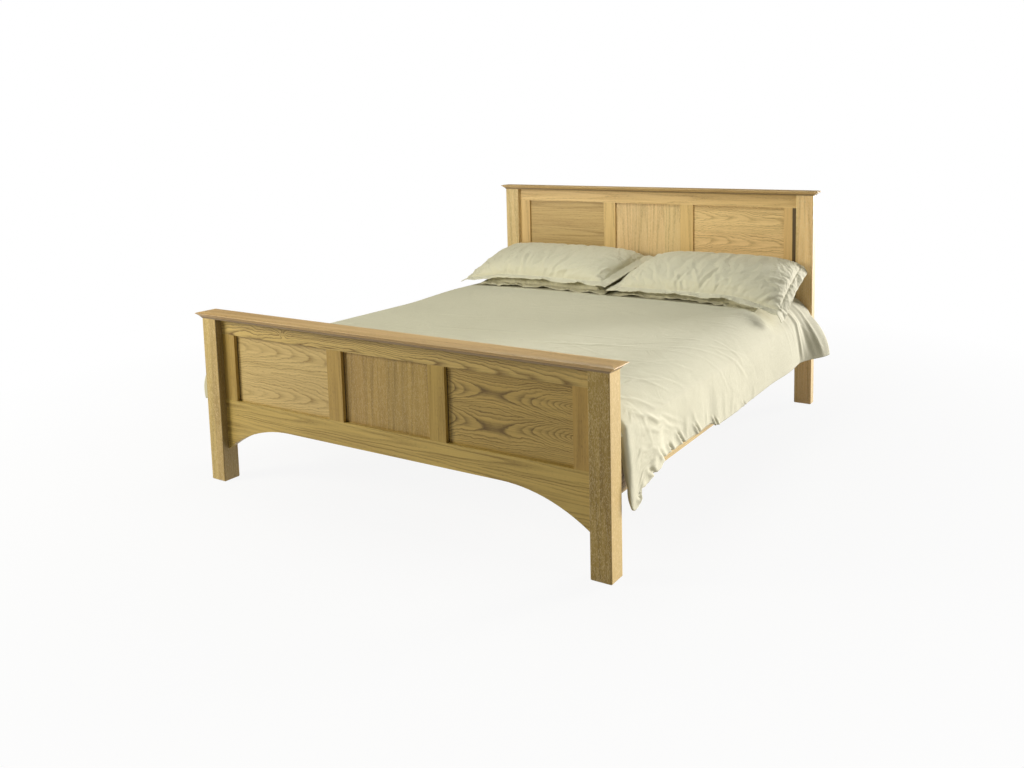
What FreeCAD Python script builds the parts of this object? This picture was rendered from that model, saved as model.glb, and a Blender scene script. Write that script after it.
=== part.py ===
import FreeCAD, Part
import math
import os
from FreeCAD import Vector

# Panel bed in solid oak, super king size, made up with a duvet and four pillows.
# Millimetres. +Z is up, X runs across the bed, the footboard faces -Y and the
# headboard stands at +Y. The origin is on the floor in the middle of the bed.

# ---------------------------------------------------------------- driving sizes

# mattress and the room round it
MATTRESS_W = 1800.0
MATTRESS_L = 2000.0
MATTRESS_T = 220.0
MATTRESS_CORNER_R = 80.0      # upright corners in plan
MATTRESS_EDGE = 22.0          # eased top and bottom edges
MATTRESS_SIDE_GAP = 6.0       # mattress to side rail
MATTRESS_HEAD_GAP = 2.0       # mattress to head posts
MATTRESS_FOOT_GAP = 44.0      # mattress to foot posts, where the duvet tucks in

# posts
FOOT_POST_W = 80.0
FOOT_POST_D = 72.0
FOOT_POST_H = 684.0           # floor to the underside of the cap
HEAD_POST_W = 90.0
HEAD_POST_D = 50.0
HEAD_POST_H = 1091.0
POST_ARRIS_R = 4.0            # rounded upright edges
POST_TOE_R = 3.0              # eased edges at the floor

# moulded caps
CAP_T = 26.0                  # underside to the top
CAP_NOSE_H = 20.0             # underside to the widest line
CAP_NOSE_T = 3.0              # thickness of the rounded nose
CAP_FRONT_OVER = 14.0         # nose beyond the post faces, front and back
CAP_END_OVER = 25.0           # nose beyond the post faces, at the ends
CAP_CROWN_W = 24.0            # width of the eased top edge
CAP_COVE_SAG = 1.6            # hollow of the cove under the nose

# footboard frame
FOOT_FRAME_T = 30.0
FOOT_RECESS = 28.0            # frame face behind the post face
FOOT_TOP_RAIL_H = 64.0
FOOT_STILE_W = 72.0
FOOT_MUNTIN_W = 74.0
FOOT_CENTRE_W = 420.0         # clear width of the middle panel
FOOT_REVEAL = 14.0            # panel face behind the frame face
FOOT_PANEL_T = 10.0
ARCH_RAIL_WAIST = 92.0        # height of the bottom rail over the flat of the arch
ARCH_R = 620.0                # radius of the shoulders of the arch
ARCH_SHOULDER = 365.0         # length of each shoulder, post to flat

# headboard frame
HEAD_FRAME_T = 24.0
HEAD_RECESS = 20.0
HEAD_TOP_RAIL_H = 67.0
HEAD_BOTTOM_RAIL_H = 180.0
HEAD_STILE_W = 70.0
HEAD_MUNTIN_W = 76.0
HEAD_CENTRE_W = 412.0
HEAD_REVEAL = 10.0
HEAD_PANEL_T = 9.0

# joints of the frames
GROOVE_D = 10.0               # panel groove depth
PANEL_ROOM = 1.5              # panel edge short of the groove's bottom
JOINT_CLEAR = 0.15            # each side of a tongue, tenon, dowel or screw
END_CLEAR = 0.5               # tenon or dowel end short of its hole's bottom
TENON_L = 30.0
TENON_T = 10.0
TENON_SET = 12.0              # tenon edge inside the rail edge
CAP_TONGUE_T = 8.0            # tongue of the top rail and posts in the cap
CAP_TONGUE_H = 10.0
CAP_TONGUE_SET = 16.0         # tongue's end inside the post's outer face

# side rails and their fixings
RAIL_BOTTOM = 254.0           # floor to the side rails and the flat of the arch
RAIL_H = 160.0
RAIL_T = 28.0
RAIL_ARRIS = 2.0              # eased long edges
STUD_R = 4.0
STUD_SIDES = 8                # flats on each stud and round its hole
STUD_EMBED = 34.0             # stud length in the post
POCKET_R = 18.0
POCKET_FROM_END = 72.0        # pocket axis from the rail's end
POCKET_SKIN = 4.0             # wood left at the rail's outer face
WASHER_T = 6.0
NUT_AF = 13.0
NUT_T = 6.5
STUD_TIP = 4.0                # stud end beyond the nut
RAIL_TENON_L = 12.0           # stub tenon round the stud
RAIL_TENON_T = 14.0

# slatted base
SLAT_COUNT = 12
SLAT_W = 90.0
SLAT_T = 20.0
SLAT_ARRIS = 2.0
SLAT_END_GAP = 2.0            # slat end to side rail
SLAT_FIRST = 105.0            # first and last slat's outer edge from the posts
LEDGER_W = 34.0
LEDGER_H = 30.0
LEDGER_UP = 16.0              # ledger's underside above the rail's underside
LEDGER_END = 98.0             # ledger end from the posts
CENTRE_RAIL_W = 70.0
CENTRE_RAIL_H = 42.0
CENTRE_RAIL_END_GAP = 3.0
LEG_W = 45.0
LEG_STATION = 350.0           # leg from the middle of the bed
LEG_TENON_W = 20.0
LEG_TENON_L = 26.0
BRACKET_T = 2.0
BRACKET_SEAT = 32.0           # length of the bracket's seat along the bed
BRACKET_FLANGE = 24.0

# duvet
SOFT_GAP = 0.3                # cloth to what it rests on
DUVET_CROWN = 40.0            # thickness over the middle of the mattress
DUVET_FALL = 8.0              # crown to the shoulder where the top starts to fall
DUVET_SHOULDER_IN = 120.0     # shoulder inside the mattress's side
DUVET_SIDE_TOP = 60.0         # top of the hanging side below the mattress top
DUVET_SIDE_OUT = 2.0          # top of the hanging side beyond the posts' outer faces
DUVET_SIDE_T = 22.0           # thickness of the hanging sides
DUVET_HEM = 285.0             # floor to the hem of the sides
DUVET_HEM_OUT = 24.0          # hem beyond the posts' outer faces
DUVET_FOLD = 7.0              # depth of the hanging folds at the hem
DUVET_STATIONS = 11           # even sections along the folds
DUVET_RAIL_CLEAR = 6.0        # hanging side to side rail
DUVET_SIDE_IN = 5.0           # inner bend of the side below the outer one
DUVET_RAIL_UP = 6.0           # foot edge above the side rails' tops
DUVET_FOOT_ROLL = 120.0       # length over which the top rolls down at the foot
DUVET_FOOT_CROWN = 24.0       # thickness of the top right at the foot
DUVET_CORNER_L = 180.0        # length of the corner folds at the foot
DUVET_CORNER_DROP = 75.0      # how far the right corner hangs below the hem
DUVET_CORNER_OUT = 111.0      # how far the left corner stands out
DUVET_FLARE_L = 230.0         # length of the flared fold at the head
DUVET_FLARE_OUT = 82.0        # how far it stands out on the right
DUVET_TAIL = 60.0             # inner form carried past the hem to cut it clean
CAP_LIFT_CLEAR = 8.0          # cloth to the caps as it lifts straight up

# pillows
PILLOW_L = 836.0              # filled length
PILLOW_D = 500.0              # filled depth, front to back
PILLOW_FLANGE = 48.0          # flat hem round the filled part
PILLOW_FLANGE_T = 5.0         # hem at its seam
PILLOW_HEM_T = 3.0            # hem at its edge
PILLOW_T = 108.0              # lower pillow's crown over the duvet
PILLOW_RISE = 92.0            # upper pillow's crown over the lower one's
PILLOW_STEP = 45.0            # upper hem over the duvet at the front
PILLOW_BACK = 0.70            # height at the back, as a part of the crown
PILLOW_CROWN_AT = 0.62        # lower crown's place from front to back
PILLOW_LEAN_AT = 0.74         # upper crown's place, nearer the headboard
PILLOW_DRAW = 12.0            # how far the long sides are drawn in
PILLOW_DROOP = 20.0           # how far the upper hem hangs at the front
PILLOW_END_DROOP = 6.0        # how far the outer hem hangs at the bed's side
PILLOW_ROLL = 0.2             # roundness of the back, as a part of its height
PILLOW_SQUARE = 4.5           # how squarely the filling reaches the ends
PILLOW_FALL = 0.5             # how steeply it falls there
PILLOW_EDGE_FULL = 0.02       # filling left at the end seams, as a part
PILLOW_MIDDLE_GAP = 18.0      # between the two stacks' hems
PILLOW_BACK_GAP = 2.0         # pillow to the head cap's nose, in plan


# ---------------------------------------------------------------- worked out sizes

rail_in = MATTRESS_W / 2 + MATTRESS_SIDE_GAP
rail_mid = rail_in + RAIL_T / 2
rail_out = rail_in + RAIL_T
half_w = rail_mid + FOOT_POST_W / 2
inner_l = MATTRESS_L + MATTRESS_HEAD_GAP + MATTRESS_FOOT_GAP
overall_l = inner_l + FOOT_POST_D + HEAD_POST_D

foot_front = -overall_l / 2
foot_in = foot_front + FOOT_POST_D
head_back = overall_l / 2
head_in = head_back - HEAD_POST_D

slat_bottom = RAIL_BOTTOM + LEDGER_UP + LEDGER_H
slat_top = slat_bottom + SLAT_T
arch_rail_top = RAIL_BOTTOM + ARCH_RAIL_WAIST
mattress_bottom = slat_top + SOFT_GAP
mattress_top = mattress_bottom + MATTRESS_T
mattress_head = head_in - MATTRESS_HEAD_GAP
mattress_foot = mattress_head - MATTRESS_L


# ---------------------------------------------------------------- small helpers

def block(x0, x1, y0, y1, z0, z1):
    return Part.makeBox(x1 - x0, y1 - y0, z1 - z0, Vector(x0, y0, z0))


def rod(radius, start, direction, length):
    return Part.makeCylinder(radius, length, Vector(*start), Vector(*direction))


def bar(half_flats, sides, start, length):
    # prism along Y, measured across its flats; a negative length runs towards -Y
    x, y, z = start
    reach = half_flats / math.cos(math.pi / sides)
    turns = [math.pi * (2 * k + 1) / sides for k in range(sides + 1)]
    ring = [Vector(x + reach * math.cos(t), y, z + reach * math.sin(t)) for t in turns]
    return Part.Face(Part.makePolygon(ring)).extrude(Vector(0, length, 0))


def seg(a, b):
    return Part.LineSegment(Vector(*a), Vector(*b)).toShape()


def arc(a, mid, b):
    return Part.Arc(Vector(*a), Vector(*mid), Vector(*b)).toShape()


def level_arc(crown, end):
    # arc that leaves the crown level and falls to the end
    run = math.hypot(end[0] - crown[0], end[1] - crown[1])
    drop = crown[2] - end[2]
    radius = (run ** 2 + drop ** 2) / (2 * drop)
    turn = math.atan2(drop, run)
    share = radius * math.sin(turn) / run
    middle = (crown[0] + (end[0] - crown[0]) * share, crown[1] + (end[1] - crown[1]) * share,
              crown[2] - radius * (1 - math.cos(turn)))
    return arc(crown, middle, end)


def solid_between(wire, along):
    return Part.Face(wire).extrude(Vector(*along))


def joined(shapes):
    whole = shapes[0]
    for shape in shapes[1:]:
        whole = whole.fuse(shape)
    return whole.removeSplitter()


def without(shape, cutters):
    for cutter in cutters:
        shape = shape.cut(cutter)
    return shape


def edges_along(shape, direction):
    # the straight edges that run along the given axis
    found = []
    for edge in shape.Edges:
        a, b = edge.Vertexes[0].Point, edge.Vertexes[-1].Point
        run = b - a
        if run.Length > 1e-6 and abs(run.normalize().dot(Vector(*direction))) > 0.999:
            found.append(edge)
    return found


parts = {}


# ---------------------------------------------------------------- posts

def post(x_outer, side, y0, width, depth, height):
    x0, x1 = sorted((x_outer, x_outer - side * width))
    body = block(x0, x1, y0, y0 + depth, 0.0, height)
    body = body.makeFillet(POST_ARRIS_R, edges_along(body, (0, 0, 1)))
    toe = [e for e in body.Edges if e.BoundBox.ZMax < 1e-6]
    return body.makeChamfer(POST_TOE_R, toe)


posts = {
    "foot_post_left": post(-half_w, -1, foot_front, FOOT_POST_W, FOOT_POST_D, FOOT_POST_H),
    "foot_post_right": post(half_w, 1, foot_front, FOOT_POST_W, FOOT_POST_D, FOOT_POST_H),
    "head_post_left": post(-half_w, -1, head_in, HEAD_POST_W, HEAD_POST_D, HEAD_POST_H),
    "head_post_right": post(half_w, 1, head_in, HEAD_POST_W, HEAD_POST_D, HEAD_POST_H),
}


# ---------------------------------------------------------------- panelled ends

def tenon(side, shoulder, y_mid, z0, z1, room):
    # stub tenon on a rail's end; with room it is the mortice that takes it
    x0, x1 = sorted((shoulder, shoulder + side * (TENON_L + (END_CLEAR if room else 0.0))))
    half_t = TENON_T / 2 + (JOINT_CLEAR if room else 0.0)
    grow = JOINT_CLEAR if room else 0.0
    return block(x0, x1, y_mid - half_t, y_mid + half_t, z0 + TENON_SET - grow,
                 z1 - TENON_SET + grow)


def framed_end(name, y_face, frame_t, reveal, panel_t, half_in, stile_w, muntin_w, centre_w,
               top_z, top_rail_h, opening_z, lower_rail, lower_tenon_z):
    # two rails between the posts, two stiles and two muntins between the rails,
    # three flat panels loose in the grooves
    y_back = y_face + frame_t
    y_mid = (y_face + y_back) / 2
    open_top = top_z - top_rail_h
    groove_y = (y_face + reveal - JOINT_CLEAR, y_face + reveal + panel_t + JOINT_CLEAR)
    tongue_y = (y_face + reveal, y_face + reveal + panel_t)
    reach = GROOVE_D - END_CLEAR
    made = {}

    top = block(-half_in, half_in, y_face, y_back, open_top, top_z)
    top = top.cut(block(-half_in, half_in, *groove_y, open_top - 1.0, open_top + GROOVE_D))
    low = lower_rail.cut(block(-half_in, half_in, *groove_y, opening_z - GROOVE_D,
                               opening_z + 1.0))
    for side in (-1, 1):
        top = top.fuse(tenon(side, side * half_in, y_mid, open_top, top_z, False))
        low = low.fuse(tenon(side, side * half_in, y_mid, *lower_tenon_z, False))
    made[name + "_top_rail"] = top
    made[name + "_bottom_rail"] = low

    def upright(x0, x1, groove_low, groove_high):
        piece = block(x0, x1, y_face, y_back, opening_z, open_top)
        t0 = x0 + (GROOVE_D if groove_low else 0.0)
        t1 = x1 - (GROOVE_D if groove_high else 0.0)
        piece = piece.fuse(block(t0, t1, *tongue_y, opening_z - reach, open_top + reach))
        if groove_low:
            piece = piece.cut(block(x0 - 1.0, t0, *groove_y, opening_z, open_top))
        if groove_high:
            piece = piece.cut(block(t1, x1 + 1.0, *groove_y, opening_z, open_top))
        return piece

    half_c = centre_w / 2
    made[name + "_stile_left"] = upright(-half_in, -half_in + stile_w, False, True)
    made[name + "_stile_right"] = upright(half_in - stile_w, half_in, True, False)
    made[name + "_muntin_left"] = upright(-half_c - muntin_w, -half_c, True, True)
    made[name + "_muntin_right"] = upright(half_c, half_c + muntin_w, True, True)

    edge = GROOVE_D - PANEL_ROOM
    spans = {
        "left": (-half_in + stile_w, -half_c - muntin_w),
        "centre": (-half_c, half_c),
        "right": (half_c + muntin_w, half_in - stile_w),
    }
    for place, (x0, x1) in spans.items():
        made[name + "_panel_" + place] = block(x0 - edge, x1 + edge, *tongue_y,
                                               opening_z - edge, open_top + edge)
    return made, y_mid


# the footboard's bottom rail: a straight flat between two round shoulders
foot_half_in = half_w - FOOT_POST_W
foot_face = foot_front + FOOT_RECESS
foot_back = foot_face + FOOT_FRAME_T
arch_flat = foot_half_in - ARCH_SHOULDER
arch_drop = ARCH_R - math.sqrt(ARCH_R ** 2 - ARCH_SHOULDER ** 2)
arch_half = ARCH_SHOULDER / 2
arch_mid_drop = ARCH_R - math.sqrt(ARCH_R ** 2 - arch_half ** 2)
arch_end_z = RAIL_BOTTOM - arch_drop


def arch_shoulder(side):
    a = (side * arch_flat, foot_face, RAIL_BOTTOM)
    m = (side * (arch_flat + arch_half), foot_face, RAIL_BOTTOM - arch_mid_drop)
    b = (side * foot_half_in, foot_face, arch_end_z)
    return (a, m, b) if side > 0 else (b, m, a)


arch_outline = Part.Wire([
    seg((-foot_half_in, foot_face, arch_rail_top), (-foot_half_in, foot_face, arch_end_z)),
    arc(*arch_shoulder(-1)),
    seg((-arch_flat, foot_face, RAIL_BOTTOM), (arch_flat, foot_face, RAIL_BOTTOM)),
    arc(*arch_shoulder(1)),
    seg((foot_half_in, foot_face, arch_end_z), (foot_half_in, foot_face, arch_rail_top)),
    seg((foot_half_in, foot_face, arch_rail_top), (-foot_half_in, foot_face, arch_rail_top)),
])
arch_rail = solid_between(arch_outline, (0, FOOT_FRAME_T, 0))

foot_set, foot_mid = framed_end(
    "foot", foot_face, FOOT_FRAME_T, FOOT_REVEAL, FOOT_PANEL_T, foot_half_in, FOOT_STILE_W,
    FOOT_MUNTIN_W, FOOT_CENTRE_W, FOOT_POST_H, FOOT_TOP_RAIL_H, arch_rail_top, arch_rail,
    (arch_end_z, arch_rail_top))

head_half_in = half_w - HEAD_POST_W
head_face = head_in + HEAD_RECESS
head_frame_back = head_face + HEAD_FRAME_T
head_low_top = RAIL_BOTTOM + HEAD_BOTTOM_RAIL_H
head_low = block(-head_half_in, head_half_in, head_face, head_frame_back, RAIL_BOTTOM,
                 head_low_top)
head_set, head_mid = framed_end(
    "head", head_face, HEAD_FRAME_T, HEAD_REVEAL, HEAD_PANEL_T, head_half_in, HEAD_STILE_W,
    HEAD_MUNTIN_W, HEAD_CENTRE_W, HEAD_POST_H, HEAD_TOP_RAIL_H, head_low_top, head_low,
    (RAIL_BOTTOM, head_low_top))

# mortices in the posts for the rails' tenons
for side, place in ((-1, "left"), (1, "right")):
    posts["foot_post_" + place] = without(posts["foot_post_" + place], [
        tenon(side, side * foot_half_in, foot_mid, FOOT_POST_H - FOOT_TOP_RAIL_H, FOOT_POST_H,
              True),
        tenon(side, side * foot_half_in, foot_mid, arch_end_z, arch_rail_top, True)])
    posts["head_post_" + place] = without(posts["head_post_" + place], [
        tenon(side, side * head_half_in, head_mid, HEAD_POST_H - HEAD_TOP_RAIL_H, HEAD_POST_H,
              True),
        tenon(side, side * head_half_in, head_mid, RAIL_BOTTOM, head_low_top, True)])


# ---------------------------------------------------------------- moulded caps

def cap_profile(run0, run1, over, underside, to_point):
    # section of the cap across one direction: flat underside, hollow cove out to a
    # rounded nose, then an eased crown up to a flat top
    z_top = underside + CAP_T
    n0 = underside + CAP_NOSE_H - CAP_NOSE_T / 2
    n1 = n0 + CAP_NOSE_T
    nose_in = CAP_NOSE_T / 3
    rise = z_top - n1
    crown_r = (CAP_CROWN_W ** 2 + rise ** 2) / (2 * rise)
    half_c = CAP_CROWN_W / 2
    crown_mid = z_top - (crown_r - math.sqrt(crown_r ** 2 - half_c ** 2))

    def edge_set(inner, out):
        # from the underside's corner to the start of the flat top
        tip = inner + out * over
        lip = tip - out * nose_in
        length = math.hypot(over - nose_in, n0 - underside)
        nx, nz = out * (n0 - underside) / length, -(over - nose_in) / length
        cove = ((inner + lip) / 2 - nx * CAP_COVE_SAG, (underside + n0) / 2 - nz * CAP_COVE_SAG)
        return [((inner, underside), cove, (lip, n0)),
                ((lip, n0), (tip, (n0 + n1) / 2), (lip, n1)),
                ((lip, n1), (lip - out * half_c, crown_mid), (lip - out * CAP_CROWN_W, z_top))]

    far = edge_set(run1, 1)
    near = edge_set(run0, -1)
    edges = [seg(to_point(run0, underside), to_point(run1, underside))]
    edges += [arc(to_point(*a), to_point(*m), to_point(*b)) for a, m, b in far]
    edges.append(seg(to_point(*far[-1][2]), to_point(*near[-1][2])))
    edges += [arc(to_point(*b), to_point(*m), to_point(*a)) for a, m, b in reversed(near)]
    return Part.Wire(edges)


def cap(y0, y1, underside):
    long_x = half_w + CAP_END_OVER
    across = cap_profile(y0, y1, CAP_FRONT_OVER, underside, lambda u, z: (-long_x, u, z))
    bar = solid_between(across, (2 * long_x, 0, 0))
    y_start = y0 - CAP_FRONT_OVER
    along = cap_profile(-half_w, half_w, CAP_END_OVER, underside, lambda u, z: (u, y_start, z))
    slab = solid_between(along, (0, y1 - y0 + 2 * CAP_FRONT_OVER, 0))
    return bar.common(slab)


foot_cap = cap(foot_front, foot_in, FOOT_POST_H)
head_cap = cap(head_in, head_back, HEAD_POST_H)

# a tongue along each top rail and each post's top stands in a groove under the cap
tongue_half = half_w - CAP_TONGUE_SET


def cap_tongue(x0, x1, y_mid, underside, room):
    grow = JOINT_CLEAR if room else 0.0
    end = END_CLEAR if room else 0.0
    half_t = CAP_TONGUE_T / 2 + grow
    return block(x0 - end, x1 + end, y_mid - half_t, y_mid + half_t, underside - end,
                 underside + CAP_TONGUE_H + end)


foot_cap = foot_cap.cut(cap_tongue(-tongue_half, tongue_half, foot_mid, FOOT_POST_H, True))
head_cap = head_cap.cut(cap_tongue(-tongue_half, tongue_half, head_mid, HEAD_POST_H, True))
for made, prefix, half_in, y_mid, underside in (
        (foot_set, "foot", foot_half_in, foot_mid, FOOT_POST_H),
        (head_set, "head", head_half_in, head_mid, HEAD_POST_H)):
    rail_name = prefix + "_top_rail"
    made[rail_name] = made[rail_name].fuse(
        cap_tongue(-half_in, half_in, y_mid, underside, False)).removeSplitter()
    for side, place in ((-1, "left"), (1, "right")):
        x0, x1 = sorted((side * half_in, side * tongue_half))
        owner = prefix + "_post_" + place
        posts[owner] = posts[owner].fuse(
            cap_tongue(x0, x1, y_mid, underside, False)).removeSplitter()


# ---------------------------------------------------------------- side rails

rail_top = RAIL_BOTTOM + RAIL_H
rail_y0, rail_y1 = foot_in, head_in
tenon_z0, tenon_z1 = RAIL_BOTTOM + TENON_SET, rail_top - TENON_SET


def rail_tenon(x_mid, y_end, outward, room):
    # stub tenon on a side rail's end; with room it is the mortice in the post
    grow = JOINT_CLEAR if room else 0.0
    length = RAIL_TENON_L + (END_CLEAR if room else 0.0)
    ya, yb = sorted((y_end, y_end + outward * length))
    half_t = RAIL_TENON_T / 2 + grow
    return block(x_mid - half_t, x_mid + half_t, ya, yb, tenon_z0 - grow, tenon_z1 + grow)


rails = {}
studs, washers, nuts = [], [], []
stud_z = (RAIL_BOTTOM + rail_top) / 2
stud_room = STUD_R + JOINT_CLEAR
rail_ends = ((rail_y0, 1, "foot"), (rail_y1, -1, "head"))
for side, place in ((-1, "left"), (1, "right")):
    x0, x1 = sorted((side * rail_in, side * rail_out))
    rail = block(x0, x1, rail_y0, rail_y1, RAIL_BOTTOM, rail_top)
    rail = rail.makeChamfer(RAIL_ARRIS, edges_along(rail, (0, 1, 0)))
    x_mid = side * rail_mid
    pocket_out = side * (rail_out - POCKET_SKIN)
    for y_end, inward, prefix in rail_ends:
        # a steel stud set in the post, drawn up by a nut in a round pocket
        pocket_y = y_end + inward * POCKET_FROM_END
        seat_y = pocket_y - inward * POCKET_R
        rim = POCKET_R - math.sqrt(POCKET_R ** 2 - NUT_AF ** 2 / 4)
        nut_y = seat_y + inward * (rim + WASHER_T)
        start = y_end - inward * STUD_EMBED
        length = abs(nut_y + inward * (NUT_T + STUD_TIP) - start)
        studs.append(bar(STUD_R, STUD_SIDES, (x_mid, start, stud_z), inward * length))
        rail = rail.fuse(rail_tenon(x_mid, y_end, -inward, False))
        rail = rail.cut(bar(stud_room, STUD_SIDES,
                            (x_mid, y_end - inward * (RAIL_TENON_L + 1.0), stud_z),
                            inward * (POCKET_FROM_END + RAIL_TENON_L)))
        mouth = side * (rail_in - 1.0)
        rail = rail.cut(rod(POCKET_R, (mouth, pocket_y, stud_z), (side, 0, 0),
                            abs(pocket_out - mouth)))
        owner = prefix + "_post_" + place
        posts[owner] = posts[owner].cut(rail_tenon(x_mid, y_end, -inward, True))
        posts[owner] = posts[owner].cut(
            bar(stud_room, STUD_SIDES, (x_mid, start - inward * END_CLEAR, stud_z),
                inward * (STUD_EMBED + 2 * END_CLEAR)))
        # half-moon washer that bears on the pocket's round wall
        wx0 = side * (rail_in + POCKET_SKIN / 2)
        wx1 = pocket_out - side * JOINT_CLEAR
        moon = rod(POCKET_R - JOINT_CLEAR, (wx0, pocket_y, stud_z), (side, 0, 0),
                   abs(wx1 - wx0))
        ya, yb = sorted((seat_y - inward, nut_y))
        moon = moon.common(block(min(wx0, wx1), max(wx0, wx1), ya, yb, stud_z - POCKET_R,
                                 stud_z + POCKET_R))
        washers.append(moon.cut(bar(stud_room, STUD_SIDES,
                                    (x_mid, seat_y - inward, stud_z), inward * POCKET_R)))
        nut = bar(NUT_AF / 2, 6, (x_mid, nut_y, stud_z), inward * NUT_T)
        nuts.append(nut.cut(bar(stud_room, STUD_SIDES, (x_mid, nut_y - inward, stud_z),
                                inward * (NUT_T + 2.0))))
    rails[place] = rail


# ---------------------------------------------------------------- slatted base

slat_span = inner_l - 2 * SLAT_FIRST - SLAT_W
slat_ys = [rail_y0 + SLAT_FIRST + SLAT_W / 2 + slat_span * i / (SLAT_COUNT - 1)
           for i in range(SLAT_COUNT)]
slat_half = rail_in - SLAT_END_GAP
ledger_in = rail_in - LEDGER_W
ledger_z0 = RAIL_BOTTOM + LEDGER_UP

slats = []
ledgers = {}
for side, place in ((-1, "left"), (1, "right")):
    x0, x1 = sorted((side * ledger_in, side * rail_in))
    ledgers[place] = block(x0, x1, rail_y0 + LEDGER_END, rail_y1 - LEDGER_END, ledger_z0,
                           slat_bottom)
for y in slat_ys:
    slat = block(-slat_half, slat_half, y - SLAT_W / 2, y + SLAT_W / 2, slat_bottom, slat_top)
    slats.append(slat.makeChamfer(SLAT_ARRIS, edges_along(slat, (1, 0, 0))))

# centre rail on two steel brackets and two legs
centre_z0 = slat_bottom - CENTRE_RAIL_H
centre_half = CENTRE_RAIL_W / 2
centre_rail = block(-centre_half, centre_half, foot_back + CENTRE_RAIL_END_GAP,
                    head_face - CENTRE_RAIL_END_GAP, centre_z0, slat_bottom)

brackets = {}
bracket_top = slat_bottom - BRACKET_T
wall_in = centre_half + JOINT_CLEAR
wall_out = wall_in + BRACKET_T
for prefix, y_wall, inward in (("foot", foot_back, 1), ("head", head_face, -1)):
    y_plate = y_wall + inward * BRACKET_T
    y_seat = y_wall + inward * BRACKET_SEAT
    ya, yb = sorted((y_wall, y_seat))
    yc, yd = sorted((y_wall, y_plate))
    seat_z1 = centre_z0 - JOINT_CLEAR
    seat_z0 = seat_z1 - BRACKET_T
    shape = [block(-wall_out, wall_out, ya, yb, seat_z0, seat_z1)]
    for side in (-1, 1):
        wx0, wx1 = sorted((side * wall_in, side * wall_out))
        fx0, fx1 = sorted((side * wall_in, side * (wall_out + BRACKET_FLANGE)))
        shape.append(block(wx0, wx1, ya, yb, seat_z0, bracket_top))
        shape.append(block(fx0, fx1, yc, yd, seat_z0, bracket_top))
    brackets[prefix] = joined(shape)

legs = {}
for name, y in (("foot", -LEG_STATION), ("head", LEG_STATION)):
    leg = block(-LEG_W / 2, LEG_W / 2, y - LEG_W / 2, y + LEG_W / 2, 0.0, centre_z0)
    leg = leg.makeChamfer(POST_TOE_R, edges_along(leg, (0, 0, 1)))
    half_t = LEG_TENON_W / 2
    legs[name] = leg.fuse(block(-half_t, half_t, y - half_t, y + half_t, centre_z0,
                                centre_z0 + LEG_TENON_L))
    half_t += JOINT_CLEAR
    centre_rail = centre_rail.cut(block(-half_t, half_t, y - half_t, y + half_t, centre_z0,
                                        centre_z0 + LEG_TENON_L + END_CLEAR))


# ---------------------------------------------------------------- mattress

mattress = block(-MATTRESS_W / 2, MATTRESS_W / 2, mattress_foot, mattress_head,
                 mattress_bottom, mattress_top)
mattress = mattress.makeFillet(MATTRESS_CORNER_R, edges_along(mattress, (0, 0, 1)))
rims = [e for e in mattress.Edges if abs(e.BoundBox.ZMax - e.BoundBox.ZMin) < 1e-6]
mattress = mattress.makeChamfer(MATTRESS_EDGE, rims)


# ---------------------------------------------------------------- duvet

duvet_foot = foot_in + CAP_FRONT_OVER + CAP_LIFT_CLEAR
duvet_head = head_in - CAP_FRONT_OVER - CAP_LIFT_CLEAR
duvet_under = mattress_top + SOFT_GAP
duvet_l = duvet_head - duvet_foot
duvet_top = duvet_under + DUVET_CROWN
shoulder_x = MATTRESS_W / 2 - DUVET_SHOULDER_IN
side_x = half_w + DUVET_SIDE_OUT
side_z = duvet_under - DUVET_SIDE_TOP
slot_half = rail_out + DUVET_RAIL_CLEAR


def smooth(t):
    t = min(1.0, max(0.0, t))
    return t * t * (3 - 2 * t)


def duvet_shape(y, index):
    # height of the crown and place of each hem at one section
    run = y - duvet_foot
    rise = 1.0 - (1.0 - min(1.0, run / DUVET_FOOT_ROLL)) ** 3
    corner = 1.0 - smooth(run / DUVET_CORNER_L)
    flare = smooth((run - (duvet_l - DUVET_FLARE_L)) / DUVET_FLARE_L)
    fold = DUVET_FOLD * (1 if index % 2 else -1) * (1.0 - corner) * (1.0 - flare)
    top = duvet_under + DUVET_FOOT_CROWN + (DUVET_CROWN - DUVET_FOOT_CROWN) * rise
    right = (half_w + DUVET_HEM_OUT + fold + DUVET_FLARE_OUT * flare,
             DUVET_HEM - DUVET_CORNER_DROP * corner)
    left = (half_w + DUVET_HEM_OUT - fold + DUVET_CORNER_OUT * corner,
            DUVET_HEM + DUVET_FOLD * corner)
    return top, left, right


def duvet_outer(y, index):
    top, left, right = duvet_shape(y, index)

    def half(side, hem):
        shoulder = (side * shoulder_x, y, top - DUVET_FALL)
        bend = (side * side_x, y, side_z)
        mid_x = side_x + (hem[0] - side_x) * 0.72
        middle = (side * mid_x, y, side_z + (hem[1] - side_z) * 0.48)
        return shoulder, bend, middle, (side * hem[0], y, hem[1])

    ls, lb, lm, lh = half(-1, left)
    rs, rb, rm, rh = half(1, right)
    return Part.Wire([arc(lh, lm, lb), level_arc(ls, lb), arc(ls, (0, y, top), rs),
                      level_arc(rs, rb), arc(rb, rm, rh), seg(rh, lh)])


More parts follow.
